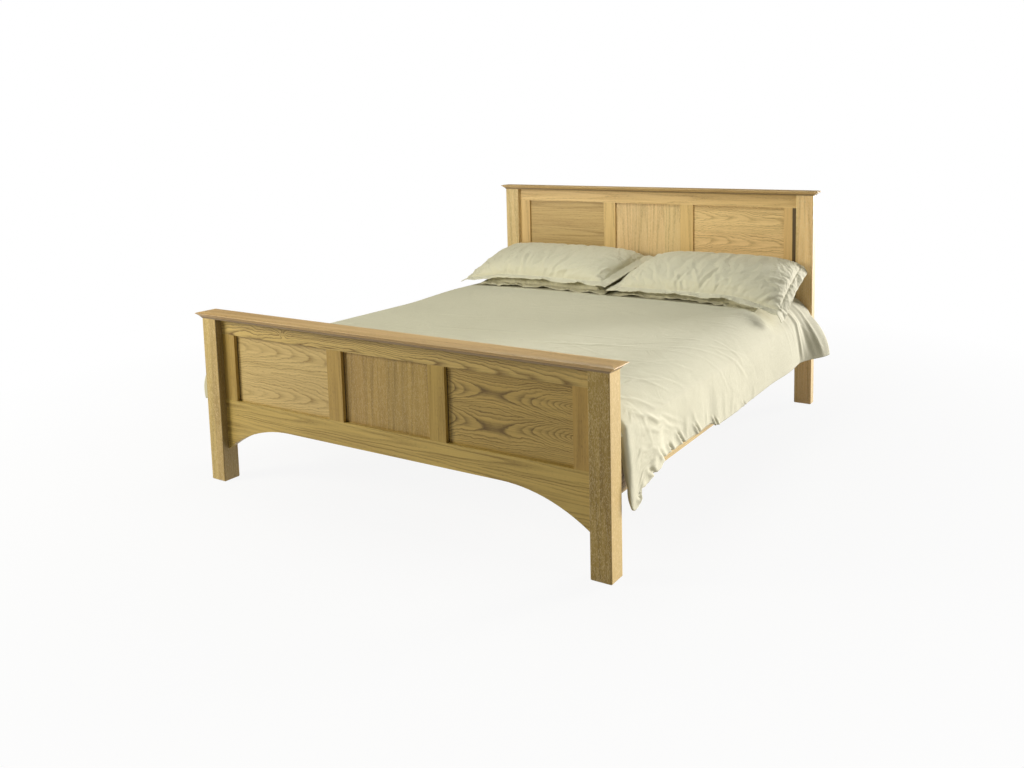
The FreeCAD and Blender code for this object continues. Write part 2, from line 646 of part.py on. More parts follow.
def duvet_inner(y, index):
    left, right = duvet_shape(y, index)[1:]
    half_m = MATTRESS_W / 2

    def half(side, hem):
        a = (side * (half_m - MATTRESS_EDGE * 0.8), y, duvet_under)
        k = (side * (half_m + MATTRESS_SIDE_GAP * 1.3), y, duvet_under - MATTRESS_EDGE * 0.93)
        b = (side * slot_half, y, side_z - DUVET_SIDE_IN)
        h = (side * (hem[0] - DUVET_SIDE_T), y, hem[1] - DUVET_TAIL)
        return a, k, b, h

    la, lk, lb, lh = half(-1, left)
    ra, rk, rb, rh = half(1, right)
    return Part.Wire([seg(lh, lb), arc(lb, lk, la), seg(la, ra), arc(ra, rk, rb),
                      seg(rb, rh), seg(rh, lh)])


even = [DUVET_CORNER_L + (duvet_l - DUVET_CORNER_L) * i / DUVET_STATIONS
        for i in range(DUVET_STATIONS + 1)]
outer_runs = [0.0, DUVET_FOOT_ROLL * 0.25, DUVET_FOOT_ROLL * 0.7] + even
outer = Part.makeLoft([duvet_outer(duvet_foot + r, i) for i, r in enumerate(outer_runs)],
                      True, True)
foot_wall = mattress_foot - SOFT_GAP - duvet_foot
inner_runs = [foot_wall, DUVET_FOOT_ROLL * 0.7] + even
inner_wires = [duvet_inner(duvet_foot + r, i + 1) for i, r in enumerate(inner_runs)]
last = inner_wires[-1].copy()
last.translate(Vector(0, 40.0, 0))
inner = Part.makeLoft(inner_wires + [last], True, True)
foot_slot = block(-slot_half, slot_half, duvet_foot - 1.0, mattress_foot, 0.0,
                  rail_top + DUVET_RAIL_UP)
duvet = outer.cut(inner).cut(foot_slot)


# ---------------------------------------------------------------- pillows

pillow_back = head_in - CAP_FRONT_OVER - PILLOW_BACK_GAP
pillow_front = pillow_back - PILLOW_D
pillow_x = PILLOW_MIDDLE_GAP / 2 + PILLOW_FLANGE + PILLOW_L / 2
flange_u = 1.0 + 2 * PILLOW_FLANGE / PILLOW_L
filled = (0.3, 0.6, 0.85, 1.0)
pillow_stations = [-flange_u] + [-u for u in reversed(filled)] + list(filled) + [flange_u]


def duvet_level(x):
    return duvet_top - DUVET_FALL * min(1.0, abs(x) / shoulder_x) ** 2


def slope(crown, end, z_from, count):
    # even points down the round slope that leaves the crown level and passes the end,
    # from the height z_from to the end
    run, drop = end[1] - crown[1], crown[2] - end[2]
    radius = (run ** 2 + drop ** 2) / (2 * drop)
    first = math.acos(1.0 - (crown[2] - z_from) / radius)
    last = 2 * math.atan2(drop, abs(run))
    points = []
    for k in range(count + 1):
        turn = first + (last - first) * k / count
        points.append((crown[0], crown[1] + math.copysign(radius * math.sin(turn), run),
                       crown[2] - radius * (1.0 - math.cos(turn))))
    return points


def rounded_back(top, heel, roll, count):
    # points down the round back edge, from the top one to the heel
    middle, half = (top[2] + heel[2]) / 2, (top[2] - heel[2]) / 2
    turns = [math.pi * k / count for k in range(count + 1)]
    return [(top[0], top[1] + roll * math.sin(t), middle + half * math.cos(t)) for t in turns]


def closed(points):
    return Part.makePolygon([Vector(*p) for p in points + points[:1]])


def pillow_lines(side, u):
    # outlines of the lower and the upper pillow at one section; the upper one's
    # underside follows the lower one's back, crown and front slope down to its hem
    x = side * (pillow_x + u * PILLOW_L / 2)
    full = max(PILLOW_EDGE_FULL, (1.0 - min(1.0, abs(u)) ** PILLOW_SQUARE) ** PILLOW_FALL)
    drawn = 1.0 - min(1.0, u * u)
    y0 = pillow_front + PILLOW_DRAW * drawn
    y1 = pillow_back - PILLOW_DRAW * 0.4 * drawn
    tip_y = y0 - PILLOW_FLANGE
    base = duvet_level(x) + SOFT_GAP - (PILLOW_END_DROOP if u > 1.0 else 0.0)
    lip = base + PILLOW_FLANGE_T

    def up(height):
        return base + PILLOW_FLANGE_T + (height - PILLOW_FLANGE_T) * full

    back_z = up(PILLOW_T * PILLOW_BACK)
    roll = (back_z - base) * PILLOW_ROLL
    crown = (x, y0 + (y1 - y0) * PILLOW_CROWN_AT, up(PILLOW_T))
    touch_z = up(PILLOW_STEP)
    front = slope(crown, (x, y0, lip), touch_z, 2)
    touch = front[0]
    over = slope(crown, touch, crown[2], 3)
    behind = slope(crown, (x, y1 - roll, back_z), crown[2], 2)
    heel = (x, y1 - roll, base)
    low = [(x, y0, base), (x, tip_y, base), (x, tip_y, base + PILLOW_HEM_T)]
    low += front[::-1] + over[::-1][1:] + behind[1:]
    low += rounded_back(behind[-1], heel, roll, 3)[1:]

    under = [(p[0], p[1], p[2] + SOFT_GAP) for p in behind[::-1] + over[1:]]
    under_z = touch_z + SOFT_GAP
    tip_z = under_z - PILLOW_DROOP * full
    seam = (x, y0, under_z + PILLOW_FLANGE_T)
    thick = PILLOW_T + PILLOW_RISE
    high_crown = (x, y0 + (y1 - y0) * PILLOW_LEAN_AT,
                  seam[2] + (thick - PILLOW_STEP - PILLOW_FLANGE_T) * full)
    high_back = (x, y1 - roll, under[0][2] + PILLOW_FLANGE_T
                 + (PILLOW_RISE * PILLOW_BACK - PILLOW_FLANGE_T) * full)
    high = [(x, y0, under_z), (x, tip_y, tip_z), (x, tip_y, tip_z + PILLOW_HEM_T)]
    high += slope(high_crown, seam, high_crown[2], 5)[::-1]
    high += slope(high_crown, high_back, high_crown[2], 3)[1:]
    high += rounded_back(high_back, under[0], roll, 3)[1:] + under[1:]
    return closed(low), closed(high)


pillows = {}
for side, place in ((-1, "left"), (1, "right")):
    lines = [pillow_lines(side, u) for u in pillow_stations]
    pillows[place + "_lower"] = Part.makeLoft([low for low, high in lines], True, True)
    pillows[place + "_upper"] = Part.makeLoft([high for low, high in lines], True, True)


# ---------------------------------------------------------------- the nodes

for name, shape in posts.items():
    parts[name] = shape
for made in (foot_set, head_set):
    for name, shape in made.items():
        parts[name] = shape
parts["foot_cap"] = foot_cap
parts["head_cap"] = head_cap
for place in ("left", "right"):
    parts["side_rail_" + place] = rails[place]
    parts["slat_ledger_" + place] = ledgers[place]
parts["rail_studs"] = Part.makeCompound(studs)
parts["rail_washers"] = Part.makeCompound(washers)
parts["rail_nuts"] = Part.makeCompound(nuts)
parts["centre_rail"] = centre_rail
for name in ("foot", "head"):
    parts["centre_bracket_" + name] = brackets[name]
    parts["centre_leg_" + name] = legs[name]
for i, slat in enumerate(slats):
    parts["slat_%02d" % (i + 1)] = slat
parts["mattress"] = mattress
parts["duvet"] = duvet
for name, shape in pillows.items():
    parts["pillow_" + name] = shape

os.makedirs("parts", exist_ok=True)
for name, shape in parts.items():
    shape.exportStep("parts/" + name + ".step")
print(len(parts), "nodes")
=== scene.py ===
import math

import bpy
import numpy as np
from mathutils import Matrix, Vector


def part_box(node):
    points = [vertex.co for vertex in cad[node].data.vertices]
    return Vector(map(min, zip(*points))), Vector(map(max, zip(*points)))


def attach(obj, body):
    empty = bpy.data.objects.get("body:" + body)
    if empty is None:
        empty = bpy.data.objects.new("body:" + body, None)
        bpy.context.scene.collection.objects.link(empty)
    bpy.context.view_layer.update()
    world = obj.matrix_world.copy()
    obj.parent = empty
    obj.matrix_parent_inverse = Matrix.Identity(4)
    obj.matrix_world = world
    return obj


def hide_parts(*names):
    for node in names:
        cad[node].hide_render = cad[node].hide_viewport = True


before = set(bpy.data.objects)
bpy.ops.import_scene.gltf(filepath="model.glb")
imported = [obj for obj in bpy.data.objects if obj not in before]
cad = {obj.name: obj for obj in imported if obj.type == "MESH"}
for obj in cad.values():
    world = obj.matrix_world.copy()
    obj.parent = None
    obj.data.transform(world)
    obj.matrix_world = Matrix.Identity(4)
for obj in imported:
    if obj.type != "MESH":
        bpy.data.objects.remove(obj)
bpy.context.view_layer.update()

bpy.ops.object.select_all(action="DESELECT")
scene = bpy.context.scene
scene.view_settings.view_transform = "Standard"


# ------------------------------------------------------------------ camera
# A standing photographer off the bed's foot corner, on its right, looking a little
# down along the bed. The lens axis lies above the picture's middle.

eye = Vector((2.2700, -3.3824, 1.4096))
azimuth, elevation, roll = 0.5063, 0.1136, -0.0116
focal_px, axis_u, axis_v = 885.9, 617.87, 236.27
picture_w, picture_h = 1024, 768

back = Vector((math.sin(azimuth) * math.cos(elevation),
               -math.cos(azimuth) * math.cos(elevation), math.sin(elevation)))
level = Vector((0, 0, 1)).cross(back).normalized()
rise = back.cross(level)
right = level * math.cos(roll) + rise * math.sin(roll)
up = rise * math.cos(roll) - level * math.sin(roll)
lens = bpy.data.cameras.new("camera")
lens.sensor_width = 36.0
lens.lens = focal_px / picture_w * lens.sensor_width
lens.shift_x = (picture_w / 2 - axis_u) / picture_w
lens.shift_y = (axis_v - picture_h / 2) / picture_w
camera = bpy.data.objects.new("camera", lens)
scene.collection.objects.link(camera)
camera.matrix_world = Matrix.Translation(eye) @ Matrix((right, up, back)).transposed().to_4x4()
scene.camera = camera


# ------------------------------------------------------------------ studio
# A white floor that keeps the bed's soft shadow, and a white surround. A low broad sun
# comes from the right beyond the head, a large soft lamp stands at the left front, and
# two weaker ones hang over the bed and stand beside its right side.

def shade_graph(name):
    # a new material, its node tree and its surface shader
    made = bpy.data.materials.new(name)
    made.use_nodes = True
    return made, made.node_tree, made.node_tree.nodes["Principled BSDF"]


def put(tree, socket, value):
    # links a socket, or sets a plain value
    if isinstance(value, bpy.types.NodeSocket):
        tree.links.new(value, socket)
    else:
        socket.default_value = value


def calc(tree, how, *values, clamp=False):
    # one step of arithmetic on sockets and plain values
    node = tree.nodes.new("ShaderNodeMath")
    node.operation, node.use_clamp = how, clamp
    for socket, value in zip(node.inputs, values):
        put(tree, socket, value)
    return node.outputs[0]


def ramp(tree, value, *stops):
    # a grey curve: stops are (position, height)
    node = tree.nodes.new("ShaderNodeValToRGB")
    points = node.color_ramp.elements
    while len(points) < len(stops):
        points.new(0.5)
    for point, (place, height) in zip(points, stops):
        point.position, point.color = place, (height, height, height, 1)
    put(tree, node.inputs["Fac"], value)
    return node.outputs["Color"]


floor_paint, tree, surface = shade_graph("floor_paint")
surface.inputs["Base Color"].default_value = (0.60, 0.58, 0.52, 1)
surface.inputs["Roughness"].default_value = 0.9
surface.inputs["Specular IOR Level"].default_value = 0.1
place = tree.nodes.new("ShaderNodeTexCoord").outputs["Object"]
distance = tree.nodes.new("ShaderNodeVectorMath")
distance.operation = "LENGTH"
put(tree, distance.inputs[0], place)
path = tree.nodes.new("ShaderNodeLightPath")
seen = calc(tree, "MAXIMUM", path.outputs["Is Camera Ray"], path.outputs["Is Glossy Ray"])
# the floor goes over to plain white as it runs away from the bed
far = ramp(tree, calc(tree, "DIVIDE", distance.outputs["Value"], 8.0),
           (0.12, 0.90), (0.42, 1.0))
white = tree.nodes.new("ShaderNodeEmission")
white.inputs["Color"].default_value = (1, 1, 1, 1)
mixed = tree.nodes.new("ShaderNodeMixShader")
put(tree, mixed.inputs[0], calc(tree, "MULTIPLY", seen, far))
put(tree, mixed.inputs[1], surface.outputs[0])
put(tree, mixed.inputs[2], white.outputs[0])
put(tree, tree.nodes["Material Output"].inputs["Surface"], mixed.outputs[0])

bpy.ops.mesh.primitive_plane_add(size=60.0, location=(0, 0, 0))
floor = bpy.context.object
floor.name = "floor"
floor.data.materials.append(floor_paint)

sky = bpy.data.worlds.new("surround")
scene.world = sky
sky.use_nodes = True
tree = sky.node_tree
ambient = tree.nodes["Background"]
ambient.inputs["Color"].default_value = (1.0, 0.94, 0.82, 1)
ambient.inputs["Strength"].default_value = 0.05
open_white = tree.nodes.new("ShaderNodeBackground")
open_white.inputs["Color"].default_value = (1, 1, 1, 1)
path = tree.nodes.new("ShaderNodeLightPath")
mixed = tree.nodes.new("ShaderNodeMixShader")
put(tree, mixed.inputs[0], path.outputs["Is Camera Ray"])
put(tree, mixed.inputs[1], ambient.outputs[0])
put(tree, mixed.inputs[2], open_white.outputs[0])
put(tree, tree.nodes["World Output"].inputs["Surface"], mixed.outputs[0])


def aimed(name, kind, place, target, watts, colour):
    # a lamp at a place, turned to a target
    data = bpy.data.lights.new(name, kind)
    data.energy, data.color = watts, colour
    made = bpy.data.objects.new(name, data)
    scene.collection.objects.link(made)
    made.location = place
    made.rotation_euler = (Vector(target) - Vector(place)).to_track_quat("-Z", "Y").to_euler()
    return data


side = aimed("side_light", "SUN", (4.7, 8.5, 1.1), (0.0, 0.0, 0.2), 6.6, (1.0, 0.98, 0.97))
side.angle = math.radians(20)
front = aimed("front_lamp", "AREA", (-3.0, -3.1, 2.0), (-0.6, -0.6, 0.45), 118.0,
              (1.0, 0.955, 0.82))
front.shape, front.size = "DISK", 1.6
above = aimed("top_lamp", "AREA", (-0.15, -0.3, 3.0), (0.15, 0.2, 0.5), 42.0,
              (0.98, 1.0, 0.98))
above.shape, above.size = "DISK", 1.8
beside = aimed("right_lamp", "AREA", (4.4, -1.05, 1.0), (0.9, 0.2, 0.4), 28.0,
               (1.0, 0.99, 0.97))
beside.shape, beside.size = "DISK", 1.2


# ------------------------------------------------------------------ foot and head posts
# Square legs of light oak, each glued up from two strips, planed, the arrises
# rounded and the toes eased. Satin lacquered. Straight grain with rays that show.

def paint(r, g, b):
    # a finish's colour as the eye reads it, 0 to 255, turned into light
    parts = [c / 255 for c in (r, g, b)]
    return tuple(c / 12.92 if c <= 0.04045 else ((c + 0.055) / 1.055) ** 2.4
                 for c in parts) + (1.0,)


def vector(tree, x, y, z):
    # three numbers joined for a pattern's place
    node = tree.nodes.new("ShaderNodeCombineXYZ")
    for socket, value in zip(node.inputs, (x, y, z)):
        put(tree, socket, value)
    return node.outputs[0]


def grainy(tree, where, scale=1.0, detail=2.0, rough=0.5, twist=0.0):
    # a cloudy pattern, 0 to 1
    node = tree.nodes.new("ShaderNodeTexNoise")
    put(tree, node.inputs["Vector"], where)
    for label, value in (("Scale", scale), ("Detail", detail), ("Roughness", rough),
                         ("Distortion", twist)):
        put(tree, node.inputs[label], value)
    return node.outputs[0]


def mixed_paint(tree, share, first, second):
    # a share of the second colour over the first
    node = tree.nodes.new("ShaderNodeMix")
    node.data_type, node.blend_type = "RGBA", "MIX"
    node.clamp_result = True
    for socket, value in ((node.inputs[0], share), (node.inputs[6], first),
                          (node.inputs[7], second)):
        put(tree, socket, value)
    return node.outputs[2]


def raised(tree, surface, strength, distance, height):
    # a finish's fine relief
    bump = tree.nodes.new("ShaderNodeBump")
    bump.inputs["Strength"].default_value = strength
    bump.inputs["Distance"].default_value = distance
    put(tree, bump.inputs["Height"], height)
    put(tree, surface.inputs["Normal"], bump.outputs[0])


# pores and rays are the wood's own colours; the darkest brown is for painted shadows
pore_brown, ray_cream, painted_shadow_brown = paint(88, 62, 30), paint(236, 214, 166), paint(52, 38, 16)
# how deep the painted light and shade of a right face reaches
painted_side_skin = 0.0012


def oak(node, along, across, light=(206, 178, 118), dark=(138, 110, 54), board=0.0,
        start=None, pith=0.05, middle=None, taper=0.02, bow=0.0, ring=0.011, wave=0.004,
        strength=0.8, tone=0.06, rays=0.0, knot=None, seed=0.0, painted_shadow=None, painted_side_light=None):
    # Gives a node the finish of oak sawn from a log. The growth rings are rounds about
    # a pith that leans and bends behind the board's face, so the face shows straight
    # lines or pointed arches. Boards glued edge to edge each have their own pith and tone.
    # along and across are the axes of the grain and of the width. board is the width of
    # one glued board and start the edge of the first. The pith lies at a depth of pith
    # behind the face at middle, and taper and bow lean it. ring is a year's width, wave
    # its unevenness, strength its darkness, and tone the difference between boards. The last
    # arguments paint a shadow along a strip, and the light and shade of the right face.
    axes = "XYZ"
    depth = (set(axes) - {along, across}).pop()
    low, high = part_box(node)
    centre = (low + high) / 2
    if start is None:
        start = centre[axes.index(across)]
    if middle is None:
        middle = centre[axes.index(along)]
    made, tree, surface = shade_graph(node + "_finish")
    apart = tree.nodes.new("ShaderNodeSeparateXYZ")
    put(tree, apart.inputs[0], tree.nodes.new("ShaderNodeTexCoord").outputs["Object"])
    u, v, w = (apart.outputs[axes.index(a)] for a in (along, across, depth))
    w = calc(tree, "SUBTRACT", w, centre[axes.index(depth)])

    if board:
        strip = calc(tree, "FLOOR", calc(
            tree, "DIVIDE", calc(tree, "SUBTRACT", v, start), board))
        v_in = calc(tree, "SUBTRACT", v, calc(
            tree, "MULTIPLY_ADD", strip, board, start + board / 2))
    else:
        strip = 0.0
        v_in = calc(tree, "SUBTRACT", v, start)
    chance = tree.nodes.new("ShaderNodeTexWhiteNoise")
    chance.noise_dimensions = "1D"
    put(tree, chance.inputs["W"], calc(tree, "ADD", strip, seed + 0.37))
    lot = tree.nodes.new("ShaderNodeSeparateColor")
    put(tree, lot.inputs[0], chance.outputs["Color"])
    lot_a, lot_b, lot_c = lot.outputs

    lane = calc(tree, "MULTIPLY_ADD", strip, 3.7, seed * 1.9)

    def drawn_out(lengthways, crossways, in_depth=False):
        # places closer together along, across and, if asked, through the board
        return vector(tree, calc(tree, "MULTIPLY", u, lengthways),
                      calc(tree, "MULTIPLY", v, crossways),
                      calc(tree, "MULTIPLY", w, crossways) if in_depth else lane)

    slow = grainy(tree, drawn_out(2.4, 5.0), 1.0, 1.0)
    quick = grainy(tree, drawn_out(13.0, 20.0), 1.0, 3.0, 0.62)
    swing = calc(tree, "MULTIPLY", calc(tree, "SUBTRACT", slow, 0.5), wave * 9.0)
    ripple = calc(tree, "MULTIPLY", calc(tree, "SUBTRACT", quick, 0.5), wave * 3.0)
    u_run = calc(tree, "SUBTRACT", u, middle)
    lean = calc(tree, "MULTIPLY_ADD", u_run, taper, calc(
        tree, "MULTIPLY", calc(tree, "MULTIPLY", u_run, u_run), bow))
    deep = calc(tree, "ADD", calc(tree, "ADD", w, pith), lean)
    aside = calc(tree, "ADD", calc(tree, "ADD", v_in, calc(tree, "ADD", swing, ripple)), calc(
        tree, "MULTIPLY", calc(tree, "SUBTRACT", lot_a, 0.5), max(board, 0.06) * 0.7))
    if knot:
        # the grain swells round a small knot
        ku, kv, kr = knot
        near = calc(tree, "ADD", calc(tree, "POWER", calc(
            tree, "DIVIDE", calc(tree, "SUBTRACT", u, ku), kr * 1.8), 2.0), calc(
                tree, "POWER", calc(tree, "DIVIDE", calc(tree, "SUBTRACT", v, kv), kr), 2.0))
        swell = calc(tree, "DIVIDE", kr, calc(tree, "ADD", near, 0.35))
        aside = calc(tree, "ADD", aside, calc(tree, "MULTIPLY", swell, calc(
            tree, "SIGN", calc(tree, "SUBTRACT", v, kv))))
    radius = calc(tree, "SQRT", calc(tree, "ADD", calc(tree, "MULTIPLY", aside, aside),
                                     calc(tree, "MULTIPLY", deep, deep)))
    count = calc(tree, "DIVIDE", radius, ring)
    year = calc(tree, "FLOOR", count)
    season = calc(tree, "FRACT", count)
    yearly = tree.nodes.new("ShaderNodeTexWhiteNoise")
    yearly.noise_dimensions = "1D"
    put(tree, yearly.inputs["W"], calc(tree, "ADD", year, seed))
    early = ramp(tree, season, (0.0, 0.5), (0.08, 1.0), (0.26, 0.55), (0.55, 0.08),
                 (0.92, 0.0), (1.0, 0.5))
    lines = calc(tree, "MULTIPLY", early, calc(
        tree, "MULTIPLY_ADD", yearly.outputs["Value"], 0.7, 0.3))

    # fine fibre, broader streaks, and open pores in the early part of each year
    fibre = grainy(tree, drawn_out(5.0, 210.0, True), 1.0, 3.0, 0.6)
    streak = grainy(tree, drawn_out(1.6, 46.0), 1.0, 2.0, 0.6)
    pore = ramp(tree, grainy(tree, drawn_out(60.0, 800.0, True), 1.0, 0.0),
                (0.60, 0.0), (0.72, 1.0))
    pore = calc(tree, "MULTIPLY", pore, calc(tree, "MULTIPLY_ADD", early, 0.7, 0.12))

    shade = calc(tree, "MULTIPLY", lines, strength)
    shade = calc(tree, "ADD", shade, calc(tree, "MULTIPLY", calc(
        tree, "SUBTRACT", fibre, 0.47), 0.95))
    shade = calc(tree, "ADD", shade, calc(tree, "MULTIPLY", calc(
        tree, "SUBTRACT", streak, 0.45), 0.90), clamp=True)
    colour = mixed_paint(tree, shade, paint(*light), paint(*dark))
    colour = mixed_paint(tree, calc(tree, "MULTIPLY", pore, 0.6), colour, pore_brown)
    if rays:
        squiggle = grainy(tree, drawn_out(62.0, 240.0, True), 1.0, 0.0, 0.5, 2.2)
        glint = ramp(tree, squiggle, (0.57, 0.0), (0.63, 1.0), (0.75, 0.5))
        colour = mixed_paint(tree, calc(tree, "MULTIPLY", glint, rays), colour, ray_cream)
    level = calc(tree, "MULTIPLY_ADD", calc(tree, "SUBTRACT", lot_c, 0.5), 2 * tone, 1.0)
    toned = tree.nodes.new("ShaderNodeHueSaturation")
    put(tree, toned.inputs["Color"], colour)
    put(tree, toned.inputs["Value"], level)
    put(tree, toned.inputs["Hue"], calc(tree, "MULTIPLY_ADD", calc(
        tree, "SUBTRACT", lot_b, 0.5), 0.010, 0.5))
    finish = toned.outputs[0]
    if painted_shadow:
        # painted shadow along one edge: a strip between two values on one axis, darkened by a
        # share
        axis, first, last, darkness = painted_shadow
        inside = calc(tree, "LESS_THAN", calc(tree, "ABSOLUTE", calc(
            tree, "SUBTRACT", apart.outputs[axes.index(axis)], (first + last) / 2)),
            (last - first) / 2)
        finish = mixed_paint(tree, calc(tree, "MULTIPLY", inside, darkness), finish,
                             painted_shadow_brown)
    if painted_side_light:
        # painted light and shade on the right face: a share of another colour, lighter where
        # light falls there and darker where it lies in shade
        share, painted_side_colour = painted_side_light
        outer = calc(tree, "GREATER_THAN", apart.outputs[0], high.x - painted_side_skin)
        finish = mixed_paint(tree, calc(tree, "MULTIPLY", outer, share), finish, paint(*painted_side_colour))
    put(tree, surface.inputs["Base Color"], finish)

    put(tree, surface.inputs["Roughness"], calc(tree, "MULTIPLY_ADD", shade, 0.16, 0.38))
    raised(tree, surface, 0.35, 0.0006, calc(
        tree, "SUBTRACT", calc(tree, "MULTIPLY", fibre, 0.5),
        calc(tree, "ADD", pore, calc(tree, "MULTIPLY", lines, 0.4))))
    finish_node(node, made)
    return made


def finish_node(name, material):
    # a node of the frame takes one material
    mesh = cad[name].data
    if mesh.materials:
        mesh.materials[0] = material
    else:
        mesh.materials.append(material)


# the last column paints the right faces: shade on the left post's, light on the right post's
for node, seed, light, dark, painted_side_light in (
        ("foot_post_left", 3.0, (202, 174, 108), (142, 114, 52), (0.55, (84, 62, 22))),
        ("foot_post_right", 8.0, (176, 148, 74), (120, 92, 34), (0.5, (212, 184, 126))),
        ("head_post_left", 15.0, (208, 180, 122), (156, 126, 70), None),
        # the right head post is painted lighter than the left, for the light on the headboard's
        # right
        ("head_post_right", 21.0, (232, 200, 138), (168, 134, 74), None)):
    oak(node, "Z", "X", board=0.040, start=0.0, pith=0.10, taper=0.012, ring=0.009,
        wave=0.0020, strength=0.45, tone=0.05, rays=0.6, seed=seed, light=light, dark=dark,
        painted_side_light=painted_side_light)


# ------------------------------------------------------------------ footboard
# Two rails tenoned into the posts, two stiles and two muntins between them, and
# three flat panels loose in the grooves. The bottom rail is glued up in height and
# sawn to an arch. Rails and panels show figured grain, the uprights straight grain.

def shadow_right_of(node):
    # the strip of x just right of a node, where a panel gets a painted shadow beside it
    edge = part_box(node)[1].x
    return "X", edge - 0.0005, edge + 0.0045, 0.85


oak("foot_top_rail", "X", "Z", start=0.640, pith=0.034, taper=0.05, middle=0.1, ring=0.0066,
    wave=0.0070, strength=0.95, tone=0.0, knot=(-0.52, 0.652, 0.011),
    light=(210, 181, 110), dark=(112, 82, 26), seed=2.0)
oak("foot_bottom_rail", "X", "Z", board=0.058, start=0.286, pith=0.055, taper=0.012, ring=0.0058,
    wave=0.0032, strength=0.7, tone=0.06, light=(202, 174, 96), dark=(122, 94, 32), seed=5.0)
for place, seed in (("left", 11.0), ("right", 17.0)):
    for kind, shift in (("stile", 0.0), ("muntin", 40.0)):
        oak(f"foot_{kind}_{place}", "Z", "X", pith=0.16, taper=0.01, ring=0.008, wave=0.0016,
            strength=0.4, tone=0.05, light=(192, 160, 82), dark=(134, 103, 36),
            seed=seed + shift)
oak("foot_panel_left", "X", "Z", board=0.137, start=0.346, pith=0.052, middle=-0.70, taper=0.07,
    bow=0.0, ring=0.0062, wave=0.0085, strength=0.6, tone=0.04,
    light=(214, 188, 126), dark=(148, 118, 60), seed=4.0, painted_shadow=shadow_right_of("foot_stile_left"))
oak("foot_panel_centre", "Z", "X", board=0.105, start=-0.21, pith=0.13, taper=0.02, ring=0.010,
    wave=0.0022, strength=0.5, tone=0.07, rays=0.3, light=(182, 151, 80), dark=(118, 91, 34),
    seed=9.0, painted_shadow=shadow_right_of("foot_muntin_left"))
oak("foot_panel_right", "X", "Z", board=0.137, start=0.346, pith=0.062, middle=0.48, taper=0.0,
    bow=-0.52, ring=0.0062, wave=0.0095, strength=0.9, tone=0.03,
    light=(196, 164, 92), dark=(110, 84, 34), seed=6.0, painted_shadow=shadow_right_of("foot_muntin_right"))


# ------------------------------------------------------------------ headboard
# The same frame of rails, stiles, muntins and loose panels, taller and a little lighter
# in colour, tenoned into the head posts. Part of that lightness is painted light, and the
# right post and right panel are painted lighter still for the light on the headboard's right.

def shadow_left_of(node):
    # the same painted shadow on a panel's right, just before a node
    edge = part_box(node)[0].x
    return "X", edge - 0.0035, edge + 0.0005, 0.85


oak("head_top_rail", "X", "Z", pith=0.05, taper=0.02, ring=0.011, wave=0.004, strength=0.5,
    tone=0.0, light=(222, 187, 128), dark=(172, 134, 74), seed=7.0)
oak("head_bottom_rail", "X", "Z", board=0.09, start=0.254, pith=0.05, taper=0.03, ring=0.010,
    wave=0.004, strength=0.6, light=(216, 190, 134), dark=(160, 130, 76), seed=12.0)
for place, seed in (("left", 23.0), ("right", 29.0)):
    for kind, shift in (("stile", 0.0), ("muntin", 40.0)):
        node, post_shadow = f"head_{kind}_{place}", None
        if node == "head_stile_right":
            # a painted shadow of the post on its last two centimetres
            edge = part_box(node)[1].x
            post_shadow = ("X", edge - 0.024, edge + 0.001, 0.9)
        oak(node, "Z", "X", pith=0.16, taper=0.01, ring=0.008, wave=0.0016, strength=0.5,
            tone=0.04, light=(216, 182, 120), dark=(164, 128, 66), seed=seed + shift, painted_shadow=post_shadow)
oak("head_panel_left", "X", "Z", board=0.15, start=0.43, pith=0.075, taper=0.010, ring=0.0056,
    wave=0.0030, strength=0.6, tone=0.03, light=(194, 165, 104), dark=(136, 106, 50), seed=13.0,
    painted_shadow=shadow_left_of("head_muntin_left"))
oak("head_panel_centre", "Z", "X", board=0.103, start=-0.206, pith=0.10, taper=0.02, ring=0.010,
    wave=0.0025, strength=0.4, tone=0.05, rays=0.45, light=(220, 190, 134),
    dark=(160, 128, 70), seed=14.0, painted_shadow=shadow_left_of("head_muntin_right"))
# the right panel is painted lighter than the left one, for the light on the headboard's right
oak("head_panel_right", "X", "Z", board=0.15, start=0.43, pith=0.045, middle=0.55, taper=0.05,
    bow=-0.05, ring=0.0062, wave=0.0100, strength=0.75, tone=0.03, light=(232, 200, 140),
    dark=(156, 120, 60), seed=16.0, painted_shadow=shadow_left_of("head_stile_right"))


# ------------------------------------------------------------------ moulded caps
# One long board over each end, worked on all four edges to a cove, a thin nose and
# an eased top, from pinker straight-grained oak.

for node, seed in (("foot_cap", 18.0), ("head_cap", 19.0)):
    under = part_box(node)[0].z
    # a painted shadow darkens the lowest centimetre of the cove, under the nose
    oak(node, "X", "Y", pith=0.10, taper=0.006, ring=0.009, wave=0.0018, strength=0.4,
        tone=0.0, light=(212, 180, 128), dark=(168, 132, 80), seed=seed,
        painted_shadow=("Z", under - 0.001, under + 0.009, 0.55))


# ------------------------------------------------------------------ side rails and base
# Oak side rails drawn to the posts by steel studs and nuts, softwood ledgers and
# slats, and a centre rail on steel brackets and two legs.

